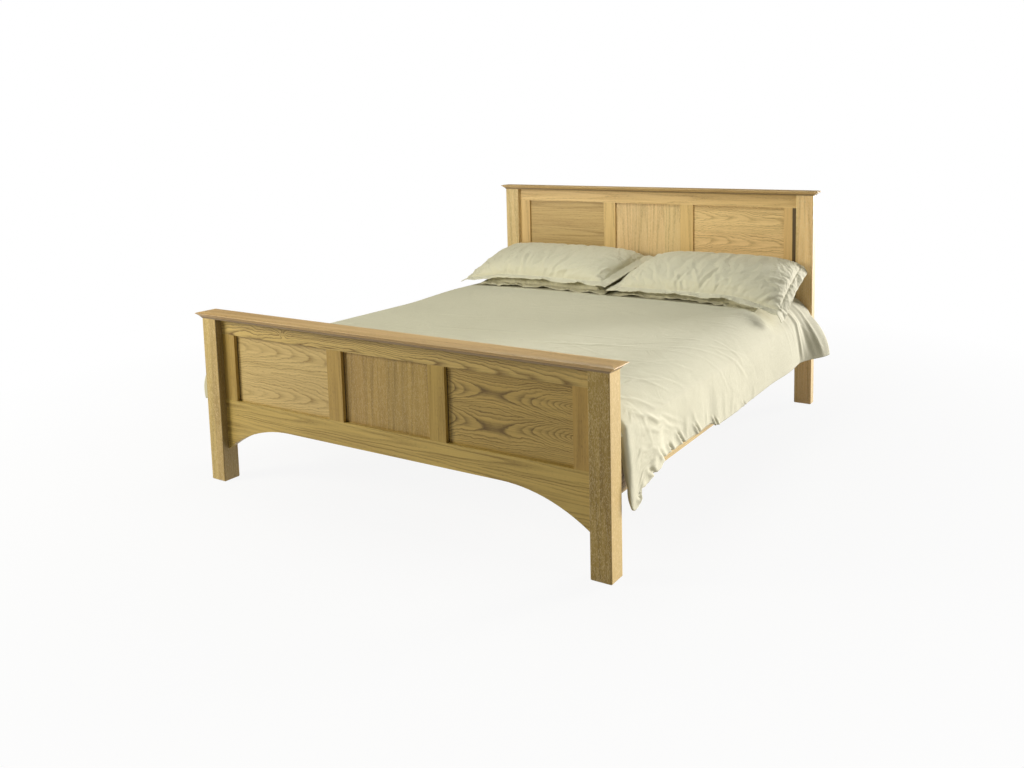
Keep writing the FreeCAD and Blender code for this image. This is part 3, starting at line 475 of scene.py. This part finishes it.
pine = {"light": (228, 202, 152), "dark": (192, 154, 98), "ring": 0.008, "wave": 0.003,
        "strength": 0.6, "pith": 0.04}
for place, seed in (("left", 31.0), ("right", 37.0)):
    oak("side_rail_" + place, "Y", "Z", pith=0.05, taper=0.015, wave=0.0045, strength=0.7,
        seed=seed)
    oak("slat_ledger_" + place, "Y", "Z", seed=seed + 2, **pine)
oak("centre_rail", "Y", "Z", seed=41.0, **pine)
for place, seed in (("foot", 43.0), ("head", 47.0)):
    oak("centre_leg_" + place, "Z", "X", seed=seed, **pine)
first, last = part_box("slat_01"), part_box("slat_12")
pitch = (last[0].y - first[0].y) / 11
slat_pine = oak("slat_01", "X", "Y", board=pitch, start=(first[0].y + first[1].y - pitch) / 2,
                seed=50.0, tone=0.05, **pine)
for k in range(2, 13):
    finish_node(f"slat_{k:02d}", slat_pine)

zinc, tree, surface = shade_graph("zinc_plate")
spot = grainy(tree, tree.nodes.new("ShaderNodeTexCoord").outputs["Object"], 260.0, 3.0)
put(tree, surface.inputs["Base Color"], mixed_paint(tree, spot, paint(176, 178, 180),
                                                    paint(205, 206, 204)))
put(tree, surface.inputs["Roughness"], calc(tree, "MULTIPLY_ADD", spot, 0.25, 0.28))
surface.inputs["Metallic"].default_value = 1.0
for name in ("rail_studs", "rail_washers", "rail_nuts", "centre_bracket_foot",
             "centre_bracket_head"):
    finish_node(name, zinc)


# ------------------------------------------------------------------ mattress
# A pocket-sprung mattress in woven ticking, with round corners and a piped seam above
# and below its border. It is mostly hidden under the duvet.

ticking, tree, surface = shade_graph("ticking")
where = tree.nodes.new("ShaderNodeTexCoord").outputs["Object"]
weave = grainy(tree, where, 900.0, 2.0)
cloud = grainy(tree, where, 6.0, 2.0)
put(tree, surface.inputs["Base Color"], mixed_paint(
    tree, cloud, paint(226, 222, 210), paint(236, 232, 222)))
surface.inputs["Roughness"].default_value = 0.9
raised(tree, surface, 0.3, 0.0008, weave)

low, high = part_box("mattress")
middle, size = (low + high) / 2, high - low
corner_radius, edge_radius, pipe = 0.078, 0.022, 0.0035
side_room, face_room, corner_steps, edge_steps = 0.004, 0.002, 12, 6


def set_down(name, points, faces):
    # a new piece from its points and faces, selected alone
    mesh = bpy.data.meshes.new(name)
    mesh.from_pydata([tuple(p) for p in points], [], faces)
    made = bpy.data.objects.new(name, mesh)
    scene.collection.objects.link(made)
    bpy.ops.object.select_all(action="DESELECT")
    bpy.context.view_layer.objects.active = made
    made.select_set(True)
    return made


def mattress_ring(step_in, z):
    # the mattress's outline with round corners, set in by step_in, at one height
    radius = corner_radius - step_in
    half_x = size.x / 2 - side_room - corner_radius
    half_y = size.y / 2 - side_room - corner_radius
    ring = []
    for quarter, (sx, sy) in enumerate(((1, 1), (-1, 1), (-1, -1), (1, -1))):
        for k in range(corner_steps + 1):
            turn = math.pi / 2 * (quarter + k / corner_steps)
            ring.append((middle.x + sx * half_x + radius * math.cos(turn),
                         middle.y + sy * half_y + radius * math.sin(turn), z))
    return ring


# from each face a round edge, then piping at the seam, with the flat border between
climb = [(edge_radius * (1 - math.sin(k / edge_steps * math.pi / 2)),
          edge_radius * (1 - math.cos(k / edge_steps * math.pi / 2)))
         for k in range(edge_steps + 1)]
climb += [(-pipe * math.sin(k / edge_steps * math.pi), edge_radius + 0.001 + 0.0012 * k)
          for k in range(edge_steps + 1)]
rings = [mattress_ring(inset, low.z + face_room + up) for inset, up in climb]
rings += [mattress_ring(inset, high.z - face_room - up) for inset, up in reversed(climb)]
around = len(rings[0])
faces = [[k * around + i, k * around + (i + 1) % around, (k + 1) * around + (i + 1) % around,
          (k + 1) * around + i] for k in range(len(rings) - 1) for i in range(around)]
faces += [list(range(around))[::-1],
          list(range((len(rings) - 1) * around, len(rings) * around))]
mattress = set_down("mattress_ticking", [point for ring in rings for point in ring], faces)
mattress.data.materials.append(ticking)
bpy.ops.object.shade_smooth_by_angle(angle=math.radians(40))
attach(mattress, "mattress")
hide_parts("mattress")


# ------------------------------------------------------------------ duvet
# A thick filled cover laid over the whole mattress, tucked down at the footboard,
# hanging outside both side rails. The hems gather, the right foot corner hangs to a
# point, the left one stands out, and the right side flares out at the head.

duvet_low, duvet_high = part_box("duvet")
foot_y, head_y = duvet_low.y + 0.004, duvet_high.y - 0.002
duvet_run = head_y - foot_y
crown_z, shoulder_x, side_x, side_z = 0.5806, 0.780, 0.9615, 0.4806
hem_x, hem_z = 0.984, 0.285
end_round, puff, shoulder_fall, quilt_wall = 0.022, 0.018, 0.008, 0.019
flat_steps, fall_steps = 60, 24
# lengths along the bed: the fall of the foot end, the corner folds, the flare
foot_run, corner_run, flare_run = 0.12, 0.19, 0.25
# the tip of the right foot corner and the heel beside it: drop, place and length
tip_drop, tip_at, tip_half = 0.058, 0.022, 0.045
heel_drop, heel_end, heel_run = 0.019, 0.11, 0.05
# how far the sides fold, gather, flare and stand out
fold_deep, gather_in, gather_up, flare_out, left_out, left_up, left_stiff = (
    0.005, 0.010, 0.022, 0.080, 0.130, 0.010, 0.085)
# how far the turned end reaches in, at least and between the posts
tuck_least, tuck_more, tuck_from, tuck_run = 0.016, 0.115, 0.93, 0.14


def ease(t):
    # 0 below 0, 1 above 1, and smooth between
    t = np.clip(t, 0.0, 1.0)
    return t * t * (3 - 2 * t)


def wander(seed, size, low, high):
    # as many even chances as asked for, the same each time
    return np.random.default_rng(seed).uniform(low, high, size)


def waves(t, seed, count, slow, quick):
    # a smooth uneven line made of a few sines, within about -1 to 1
    turns = wander(seed, count, slow, quick)
    starts = wander(seed + 1, count, 0.0, 2 * math.pi)
    heights = wander(seed + 2, count, 0.5, 1.0)
    line = sum(h * np.sin(2 * math.pi * k * t + s)
               for h, k, s in zip(heights, turns, starts))
    return line / np.sqrt((heights ** 2).sum() / 2) * 0.5


def drooped(t, start, through, end):
    # a parabola from start to end by way of a middle value
    return ((1 - t) ** 2 * start + 2 * t * (1 - t) * (2 * through - (start + end) / 2)
            + t * t * end)


def duvet_section(y, turned=0.0):
    # outline across the duvet at one place: left hem, over the top, right hem. Round
    # the foot end, turned is how far the cloth has gone round the corner.
    run = y - foot_y
    rise = 1.0 - (1.0 - min(1.0, run / foot_run)) ** 3
    corner = float(1.0 - ease(run / corner_run))
    flare = float(ease((run - (duvet_run - flare_run)) / flare_run))
    calm = (1.0 - corner) * (1.0 - flare)
    top = crown_z - 0.016 * (1.0 - rise) + puff * float(ease((run - 0.95) / 0.45))
    tip = tip_drop * math.exp(-abs((run - tip_at) / tip_half) ** 4) + heel_drop * float(
        1 - ease((run - heel_end) / heel_run)) - 0.05 * (turned / 0.035) ** 2
    sides = {}
    for side, seed in ((-1, 20), (1, 60)):
        fold = fold_deep * calm * waves(np.array([y]), seed, 6, 1.0, 3.0)[0]
        lift = fold_deep * calm * waves(np.array([y]), seed + 5, 4, 0.8, 2.4)[0]
        if side > 0:
            x = hem_x + fold + flare_out * flare
            gathered = float(ease((run - 0.20) / 0.06) * (1 - ease((run - 0.64) / 0.08)))
            x -= gather_in * gathered
            z = hem_z + lift - tip + gather_up * gathered
        else:
            x = hem_x + fold + left_out * corner
            z = hem_z + lift + left_up * corner
        sides[side] = (x, z)

    def half(side):
        x, z = sides[side]
        falls = []
        # round roll from the shoulder to the bend
        run_x, drop = side_x - shoulder_x, top - shoulder_fall - side_z
        radius = (run_x ** 2 + drop ** 2) / (2 * drop)
        turn = 2 * math.atan2(drop, run_x)
        for k in range(1, fall_steps + 1):
            a = turn * k / fall_steps
            falls.append((shoulder_x + radius * math.sin(a),
                          top - shoulder_fall - radius * (1 - math.cos(a))))
        # hanging side from the bend to the hem
        mid = (side_x + (x - side_x) * 0.72, side_z + (z - side_z) * 0.48)
        for k in range(1, fall_steps + 1):
            t = k / fall_steps
            out = drooped(t, side_x, mid[0], x)
            down = drooped(t, side_z, mid[1], z)
            if side < 0:
                # the left corner stands out stiffly beside the post
                out += left_stiff * corner * float(ease((side_z + 0.02 - down) / 0.10)) * (
                    1 - t * 0.9)
            falls.append((out, down))
        return falls

    flat = [(shoulder_x * k / flat_steps, top - shoulder_fall * (k / flat_steps) ** 2)
            for k in range(flat_steps + 1)]
    right_side = flat + half(1)
    left_side = flat + half(-1)
    return ([(-x, z) for x, z in reversed(left_side)] + right_side[1:])


def evenly(points, count):
    # the same line with evenly spaced points
    line = np.array(points)
    steps = np.hypot(*np.diff(line, axis=0).T)
    run = np.concatenate([[0.0], np.cumsum(steps)])
    at = np.linspace(0, run[-1], count)
    return np.stack([np.interp(at, run, line[:, k]) for k in range(line.shape[1])], 1)


def quads(ids):
    # the four-cornered faces of a grid of point numbers
    return np.stack([ids[:-1, :-1], ids[:-1, 1:], ids[1:, 1:], ids[1:, :-1]],
                    -1).reshape(-1, 4).tolist()


across, rows, rounds, wall_rows = 421, 301, 7, 8
end_rows = rounds + wall_rows
cover = np.zeros((rows + end_rows, across, 3))
along = np.zeros(rows + end_rows)


def laid(y, turned=0.0):
    # one row of the cover with its outward directions
    line = evenly(duvet_section(y, turned), across)
    run = np.gradient(line, axis=0)
    run /= np.linalg.norm(run, axis=1, keepdims=True)
    return line, np.stack([-run[:, 1], run[:, 0]], 1)


for row, y in enumerate(np.linspace(foot_y + end_round, head_y, rows), end_rows):
    line = laid(y)[0]
    cover[row, :, 0], cover[row, :, 1], cover[row, :, 2] = line[:, 0], y, line[:, 1]
    along[row] = y
# the foot end rounds over, then turns down behind the footboard and in behind the posts
for j in range(end_rows):
    row = end_rows - 1 - j
    turn = min(1.0, (j + 1) / rounds) * math.pi / 2
    line, outward = laid(foot_y + end_round * (1 - math.sin(turn)), end_round * turn)
    width = np.clip((tuck_from - np.abs(line[:, 0])) / tuck_run, 0, 1)
    inward = end_round * (1 - math.cos(turn)) + max(0, j + 1 - rounds) / wall_rows * (
        tuck_least + tuck_more * ease(width))
    # the right side turns in less the lower it hangs
    hanging = (line[:, 0] > 0) * (0.26 * ease((0.50 - line[:, 1]) / 0.09)
                                  + 0.44 * ease((0.36 - line[:, 1]) / 0.10))
    inward = inward * (1 - hanging)
    line = line - outward * np.reshape(inward, (-1, 1))
    cover[row, :, 0], cover[row, :, 2] = line[:, 0], line[:, 1]
    cover[row, :, 1] = foot_y + end_round * (1 - math.sin(turn))
    along[row] = foot_y + end_round * (1 - turn) - 0.004 * max(0, j + 1 - rounds)


def normals_of(grid):
    # the outward direction at each point of a sheet
    du = np.gradient(grid, axis=1)
    dv = np.gradient(grid, axis=0)
    n = np.cross(du, dv)
    n /= np.linalg.norm(n, axis=2, keepdims=True) + 1e-12
    return n


def crease(a, b, start, end, width, height, sharp=0.35):
    # height over the flat cloth of one crease from start to end: a ridge beside a
    # shallow trough, fading at both ends
    run = np.array(end) - np.array(start)
    length = np.hypot(*run)
    t = ((a - start[0]) * run[0] + (b - start[1]) * run[1]) / length ** 2
    s = ((a - start[0]) * run[1] - (b - start[1]) * run[0]) / length
    s = s + 0.25 * width * np.sin(7 * t + start[0] * 9)
    ends = ease((t + 0.02) / 0.3) * ease((1.02 - t) / 0.45)
    ridge = np.exp(-(s / width) ** 2) - sharp * np.exp(
        -((s + 1.5 * width) / (1.3 * width)) ** 2)
    return height * ends * ridge


# the right foot corner hangs close behind the post
x, z = cover[..., 0], cover[..., 2]
lap = (x > 0.9) * (1 - ease((cover[..., 1] - foot_y) / 0.13))
cover[..., 1] -= lap * 0.006 * ease((0.57 - z) / 0.13)

# a and b are the places on the flat cloth, from side to side and from foot to head
half_girth = 1.31
a = np.tile(np.linspace(-half_girth, half_girth, across), (len(along), 1))
b = np.tile(along[:, None], (1, across))
lift = np.zeros_like(a)
dice = np.random.default_rng(5)
# faint long wrinkles across the top, pulled from the foot towards the right
for k in range(44):
    x0, y0 = dice.uniform(-0.85, 0.45), dice.uniform(-0.92, 0.42)
    turn = dice.normal(0.22, 0.25)
    length = dice.uniform(0.3, 0.9)
    end = (x0 + length * math.cos(turn), y0 + length * math.sin(turn))
    lift += crease(a, b, (x0, y0), end, dice.uniform(0.006, 0.014),
                   dice.uniform(0.0007, 0.0018))
# long thin creases over the right roll, going down towards the head
for k in range(30):
    x0, y0 = dice.uniform(0.62, 1.0), dice.uniform(-0.92, 0.65)
    end = (x0 + dice.uniform(0.12, 0.36), y0 + dice.uniform(0.0, 0.36))
    lift += crease(a, b, (x0, y0), end, dice.uniform(0.006, 0.010),
                   dice.uniform(0.0007, 0.0019))
# the pull from the foot end of the roll down to the hem
for k in range(14):
    x0, y0 = 0.86 + 0.030 * k, foot_y + dice.uniform(0.0, 0.06)
    end = (min(1.27, x0 + dice.uniform(0.18, 0.32)), y0 + dice.uniform(0.22, 0.42))
    lift += crease(a, b, (x0, y0), end, dice.uniform(0.0055, 0.009),
                   dice.uniform(0.0014, 0.0032))
# short soft folds up from both hems, fewer towards the head on the right
for side, folds, reach in ((-1, 24, 1.95), (1, 11, 1.15)):
    for k in range(folds):
        y0 = -0.96 + reach * (k + dice.uniform(-0.4, 0.4)) / folds
        tall = dice.uniform(0.05, 0.17)
        end = (side * (half_girth - tall), y0 + dice.normal(-0.05, 0.05))
        lift += crease(a, b, (side * half_girth * 1.01, y0), end, dice.uniform(0.010, 0.018),
                       dice.uniform(0.0012, 0.0030))
# the hem is gathered into small sharp pleats near the right foot corner
for y0, tall, deep in ((-0.912, 0.048, 0.014), (-0.83, 0.055, 0.010),
                       (-0.735, 0.085, 0.011), (-0.665, 0.050, 0.008),
                       (-0.575, 0.075, 0.010), (-0.445, 0.060, 0.010),
                       (-0.28, 0.040, 0.009), (0.02, 0.030, 0.006)):
    t = (half_girth - a) / tall
    s = (b - y0 + 0.75 * (half_girth - a)) / 0.0055
    reach = ease((1.05 - t) / 0.6) * (a > 0)
    lift += deep * reach * (0.55 * np.exp(-((s + 2.3) / 1.8) ** 2) - np.exp(-s ** 2)
                            + 0.35 * np.exp(-((s - 2.3) / 1.8) ** 2))
# the flare at the right head corner hangs in two soft lobes
for y0, wide, high in ((0.79, 0.014, 0.007), (0.86, 0.022, -0.007), (0.93, 0.016, 0.006)):
    lift += crease(a, b, (half_girth * 1.02, y0 + 0.02), (0.92, y0 - 0.06), wide, high, 0.2)
# the turned end stays smooth
lift *= 0.15 + 0.85 * ease((b - foot_y - 0.02) / 0.05)
cover += normals_of(cover) * lift[..., None]

cover_ids = np.arange(len(along) * across).reshape(len(along), across)
duvet = set_down("duvet_cover", cover.reshape(-1, 3), quads(cover_ids))

# the filling thins out to the hems
hems, hem_columns = duvet.vertex_groups.new(name="filled"), 6
for step_in in range(hem_columns):
    hems.add(cover_ids[:, [step_in, -1 - step_in]].ravel().tolist(),
             0.35 + 0.65 * math.sin(step_in / hem_columns * math.pi / 2), "REPLACE")
hems.add(cover_ids[:, hem_columns:-hem_columns].ravel().tolist(), 1.0, "REPLACE")
wall = duvet.modifiers.new("wall", "SOLIDIFY")
wall.thickness, wall.offset, wall.vertex_group = quilt_wall, -1.0, "filled"
bpy.ops.object.modifier_apply(modifier="wall")
bpy.ops.object.shade_smooth()


def cotton(name, light, shade):
    # plain woven cotton: fine crossing threads, slubs, soft clouds of tone
    made, tree, surface = shade_graph(name)
    where = tree.nodes.new("ShaderNodeTexCoord").outputs["Object"]
    cloud = grainy(tree, where, 3.2, 3.0)
    fine = grainy(tree, where, 60.0, 4.0, 0.6)
    threads = []
    for axis in "XYZ":
        node = tree.nodes.new("ShaderNodeTexWave")
        node.bands_direction = axis
        put(tree, node.inputs["Vector"], where)
        node.inputs["Scale"].default_value = 420.0
        node.inputs["Distortion"].default_value = 1.2
        node.inputs["Detail"].default_value = 1.0
        threads.append(node.outputs["Fac"])
    weave = calc(tree, "ADD", calc(tree, "ADD", threads[0], threads[1]), threads[2])
    blend = calc(tree, "MULTIPLY_ADD", fine, 0.30, calc(tree, "MULTIPLY", cloud, 0.55))
    blend = calc(tree, "MULTIPLY_ADD", weave, 0.06, blend, clamp=True)
    put(tree, surface.inputs["Base Color"], mixed_paint(
        tree, blend, paint(*light), paint(*shade)))
    put(tree, surface.inputs["Roughness"], calc(tree, "MULTIPLY_ADD", fine, 0.12, 0.78))
    surface.inputs["Specular IOR Level"].default_value = 0.3
    surface.inputs["Sheen Weight"].default_value = 0.10
    surface.inputs["Sheen Roughness"].default_value = 0.5
    crumple = grainy(tree, where, 8.0, 4.0, 0.55, 1.2)
    close = calc(tree, "ADD", calc(tree, "MULTIPLY", fine, 1.1),
                 calc(tree, "MULTIPLY", weave, 0.10))
    raised(tree, surface, 0.4, 0.0012, calc(
        tree, "ADD", calc(tree, "MULTIPLY", crumple, 7.0), close))
    return made


duvet.data.materials.append(cotton("duvet_cotton", (213, 209, 184), (198, 194, 167)))
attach(duvet, "duvet")
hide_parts("duvet")


# ------------------------------------------------------------------ pillows
# Four filled pillows in cotton cases with a flat flange all round, in two stacks.
# Each upper pillow leans back on the lower one and hangs over its front.

pillow_cotton = cotton("pillow_cotton", (217, 213, 188), (202, 198, 171))
case_half, case_depth, flange, middle_gap = 0.418, 0.500, 0.048, 0.018
stack_x = middle_gap / 2 + flange + case_half
case_back = 1.0180
case_front = case_back - case_depth
# how squarely the filling reaches the ends, how steeply it falls there, what is left
end_square, end_fall, end_least = 4.5, 0.5, 0.03
rest_z = crown_z + puff
low_crown, low_seam, high_crown, high_seam = 0.100, 0.016, 0.182, 0.062
# how far a seam is drawn in, two layers of hem, and how far the filling may move the cloth
seam_draw, hem_thick, fine_most, swell_most = 0.0026, 0.0032, 0.016, 0.006


def case_lines(side, u, upper):
    # outline of a filled case at one place along it: over line and under line, each
    # from the front seam to the back, as heights over the duvet
    full = max(end_least, (1.0 - min(1.0, abs(u)) ** end_square) ** end_fall)
    drawn = 1.0 - min(1.0, u * u)
    v = np.linspace(0, 1, 90)
    ys = case_front + 0.012 * drawn + (case_depth - 0.017 * drawn) * v
    front_close = 1 - np.sqrt(1 - np.clip(1 - v / 0.14, 0, 1) ** 2)
    back_close = np.sqrt(1 - np.clip((v - 0.92) / 0.08, 0, 1) ** 2)

    def dome(seam, crown, peak, power, end):
        # a filled line up from the seam to the crown, falling again towards the back
        ahead = np.clip((peak - v) / peak, 0, 1)
        behind = np.clip((v - peak) / (1 - peak), 0, 1)
        return seam + (crown - seam) * (1 - ahead ** power) ** (1 / power) - end * behind ** 2

    seam = low_seam + 0.016 * v
    over = dome(low_seam, low_crown, 0.62, 2.2, 0.024)
    under = low_seam * front_close
    if upper:
        under = np.maximum(over, 0.048) + 0.0015
        seam = high_seam + 0.075 * v
        under = under + (high_seam - under) * front_close
        over = dome(high_seam, high_crown, 0.76, 1.9, 0.026)
    middle = (over[-1] + under[-1]) / 2
    over = middle + (over - middle) * back_close
    under = middle + (under - middle) * back_close
    over = seam + (over - seam) * full
    under = seam + (under - seam) * full
    return side * stack_x + u * case_half, list(zip(ys, over)), list(zip(ys, under))


def blurred(field, turns):
    # evens a grid of numbers out, keeping its edges
    for k in range(turns):
        for axis in (0, 1):
            padded = np.concatenate(
                [field.take([0], axis), field, field.take([-1], axis)], axis)
            count = field.shape[axis]
            field = (padded.take(range(0, count), axis)
                     + 2 * padded.take(range(1, count + 1), axis)
                     + padded.take(range(2, count + 2), axis)) / 4
    return field


def fill_case(points, faces, held, filled, spare, pressure, frames):
    # sews the case, lets the filling press it out, and returns where the cloth settles
    case = set_down("case_at_work", points, faces)
    hold = case.vertex_groups.new(name="hold")
    for index, weight in held:
        hold.add([int(index)], weight, "REPLACE")
    inside = case.vertex_groups.new(name="inside")
    inside.add([int(i) for i in filled], 1.0, "REPLACE")
    cloth = case.modifiers.new("cloth", "CLOTH")
    rules = cloth.settings
    rules.quality, rules.mass = 4, 0.25
    rules.tension_stiffness = rules.compression_stiffness = 18.0
    rules.shear_stiffness, rules.bending_stiffness = 4.0, 0.04
    rules.air_damping = 4.0
    rules.vertex_group_mass = "hold"
    rules.use_pressure, rules.uniform_pressure_force = True, pressure
    rules.vertex_group_pressure = "inside"
    rules.shrink_min = -spare
    rules.effector_weights.gravity = 0.0
    cloth.collision_settings.use_collision = False
    cloth.point_cache.frame_end = frames
    for k in range(1, frames + 1):
        scene.frame_set(k)
    settled = case.evaluated_get(bpy.context.evaluated_depsgraph_get()).data
    found = np.zeros(len(points) * 3)
    settled.vertices.foreach_get("co", found)
    scene.frame_set(1)
    bpy.data.objects.remove(case)
    return found.reshape(-1, 3)


def settled_in(points, side, upper):
    # the stacks lean to the right, and their outer front corners sink
    x, y, z = points[..., 0], points[..., 1], points[..., 2]
    u = np.clip((x - side * stack_x) / case_half, -1.12, 1.12)
    v = np.clip((y - case_front) / case_depth, -0.1, 1.0)
    if side < 0:
        ends = (0.055 * (1 - v) - 0.010 * v, 0.062)
    else:
        ends = (0.058, 0.064 * (1 - v) + 0.020 * v)
    if not upper:
        # the lower ones lie further in
        ends = ((ends[0] + 0.065 * (1 - v) + 0.045, ends[1] - 0.012) if side < 0
                else (ends[0] + 0.012, ends[1] - 0.060 - 0.080 * (1 - v)))
    outer = ease((side * u - 0.35) / 0.75) * (1 - np.clip(v, 0, 1)) ** 1.4
    sink = (0.034 if side < 0 else 0.052) * outer * (1.0 if upper else 0.45 * (side > 0))
    if upper and side > 0:
        sink = sink + 0.018 * (1 - ease(v / 0.5))
    return np.stack([x + ends[0] * (1 - u) / 2 + ends[1] * (1 + u) / 2, y,
                     rest_z + z - sink], -1)


def make_pillow(name, side, upper, seed):
    # one case: its shape, its flange, the filling pressed out, creases and the sewn hem
    cells_u, cells_v, hem = (128, 76, 7) if upper else (96, 50, 7)
    us = np.sin(np.linspace(-1, 1, cells_u + 1) * 1.25) / math.sin(1.25)
    top = np.zeros((cells_v + 1, cells_u + 1, 3))
    low = np.zeros_like(top)
    for i, u in enumerate(us):
        x, over, under = case_lines(side, u, upper)
        top[:, i, 0], top[:, i, 1:] = x, evenly(over, cells_v + 1)
        low[:, i, 0], low[:, i, 1:] = x, evenly(under, cells_v + 1)
    for edge in ((0, slice(None)), (-1, slice(None)), (slice(None), 0), (slice(None), -1)):
        top[edge] = low[edge] = (top[edge] + low[edge]) / 2

    # the flange runs out past the seam at the front and both ends, and hangs at the
    # outer end
    rows_n, cols_n = cells_v + 1 + hem, cells_u + 1 + 2 * hem
    over = np.zeros((rows_n, cols_n, 3))
    over[hem:, hem:-hem] = top
    down_t = np.linspace(0, 1, rows_n)
    across_t = np.linspace(0, 1, cols_n)
    for k in range(hem):
        out = (k + 1) / hem
        for column, source, way in ((hem - 1 - k, top[:, 0], -1),
                                    (cols_n - hem + k, top[:, -1], 1)):
            ripple = 0.005 * waves(down_t[hem:], seed + way + 3, 4, 0.6, 2.5) * out
            reach, sag = 0.052, 0.008
            if way == side:
                reach, sag = (0.030, 0.036) if upper and side > 0 else (0.042, 0.009)
            over[hem:, column, 0] = source[:, 0] + way * (reach * out + ripple * 0.5)
            over[hem:, column, 1] = source[:, 1]
            over[hem:, column, 2] = source[:, 2] + ripple - sag * out ** 1.4
    ripple = waves(across_t, seed + 9, 6, 1.5, 5.5)
    crumple = waves(across_t, seed + 19, 7, 5.0, 13.0)
    for k in range(hem):
        out = (k + 1) / hem
        row = hem - 1 - k
        over[row] = over[hem]
        over[row, :, 1] -= (flange if upper else 0.030) * out * (1 + 0.05 * ripple)
        over[row, :, 2] += (0.0055 * ripple + (0.0012 if upper else 0.0035) * crumple) * out - (
            0.009 if upper else 0.010) * out * out

    # one sheet above with its flange, one below, sharing the seam
    upper_ids = np.arange(rows_n * cols_n).reshape(rows_n, cols_n)
    lower_ids = upper_ids[hem:, hem:-hem].copy()
    inner = lower_ids[1:-1, 1:-1]
    lower_ids[1:-1, 1:-1] = rows_n * cols_n + np.arange(inner.size).reshape(inner.shape)
    dice = np.random.default_rng(seed)
    points = np.concatenate([over.reshape(-1, 3), low[1:-1, 1:-1].reshape(-1, 3)])
    start = points + dice.normal(0, 0.0006, points.shape)
    faces = quads(upper_ids) + [f[::-1] for f in quads(lower_ids)]
    seam_ids = np.concatenate([lower_ids[0], lower_ids[-1], lower_ids[1:-1, 0],
                               lower_ids[1:-1, -1]])
    bottom_ids = lower_ids[1:-1, 1:-1].ravel()
    move = np.zeros_like(points)
    held = [(i, 1.0) for i in seam_ids] + [(i, 0.35) for i in bottom_ids]
    filled = np.unique(np.concatenate([upper_ids[hem:, hem:-hem].ravel(), bottom_ids]))
    move = fill_case(start, faces, held, filled, spare=0.055, pressure=2.6,
                     frames=14) - points
    move_over = move[:rows_n * cols_n].reshape(rows_n, cols_n, 3)
    swell = np.stack([blurred(move_over[..., k], 30) for k in range(3)], -1)
    fine = move_over - swell
    size = np.linalg.norm(fine, axis=2, keepdims=True)
    fine *= np.minimum(1.0, fine_most / np.maximum(size, 1e-9))
    size = np.linalg.norm(swell, axis=2, keepdims=True)
    swell *= np.minimum(1.0, swell_most / np.maximum(size, 1e-9))
    # pulled creases from the seams into the filling, each fourth one from an end
    a, b = over[..., 0] - side * stack_x, over[..., 1] - case_front
    lift = np.zeros_like(a)
    for k in range(26 if upper else 20):
        from_end = k % 4 == 3
        x0, y0 = dice.uniform(-0.40, 0.40), dice.uniform(-0.01, 0.02)
        if from_end:
            x0, y0 = dice.choice((-1, 1)) * 0.415, dice.uniform(0.03, 0.45)
        turn = dice.normal(1.45 - 1.1 * x0 / 0.4 * (not from_end), 0.45)
        length = dice.uniform(0.07, 0.22)
        if from_end:
            turn = (0.0 if x0 < 0 else math.pi) + dice.normal(0, 0.5)
        end = (x0 + length * math.cos(turn), y0 + length * math.sin(turn))
        lift += crease(a, b, (x0, y0), end, dice.uniform(0.0055, 0.010),
                       dice.uniform(0.0035, 0.0075), 0.5)
    over = over + fine + swell
    over = over + normals_of(over) * (lift * ease((b + 0.01) / 0.03))[..., None]
    under = over.copy()
    under[hem + 1:-1, hem + 1:-hem - 1] = low[1:-1, 1:-1]
    over, under = settled_in(over, side, upper), settled_in(under, side, upper)
    face_out = normals_of(over)
    # stitching draws the seam in; the hem is two layers of cloth thick
    sewn = np.zeros((rows_n, cols_n))
    sewn[hem:, [hem, -hem - 1]] = 1.0
    sewn[hem, hem:-hem] = 1.0
    flat = np.ones((rows_n, cols_n), bool)
    flat[hem + 1:-1, hem + 1:-hem - 1] = False
    over = over - face_out * (sewn * seam_draw)[..., None]
    under[flat] = (over - face_out * hem_thick)[flat]
    points = np.concatenate([over.reshape(-1, 3), under.reshape(-1, 3)])
    shift = rows_n * cols_n
    faces = quads(upper_ids) + [f[::-1] for f in quads(upper_ids + shift)]
    # a narrow strip closes the edge all round
    ring = np.concatenate([upper_ids[0], upper_ids[1:, -1], upper_ids[-1, -2::-1],
                           upper_ids[-2:0:-1, 0]]).tolist()
    for first, second in zip(ring, ring[1:] + ring[:1]):
        faces.append([second, first, first + shift, second + shift])
    made = set_down(name, points, faces)
    softened = made.modifiers.new("soften", "SUBSURF")
    softened.levels = softened.render_levels = 1
    bpy.ops.object.modifier_apply(modifier="soften")
    bpy.ops.object.shade_smooth()
    made.data.materials.append(pillow_cotton)
    return made


for side, place in ((-1, "left"), (1, "right")):
    for upper, tier in ((False, "lower"), (True, "upper")):
        node = f"pillow_{place}_{tier}"
        pillow = make_pillow(node + "_case", side, upper, 100 + 7 * side + 3 * upper)
        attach(pillow, node)
        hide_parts(node)
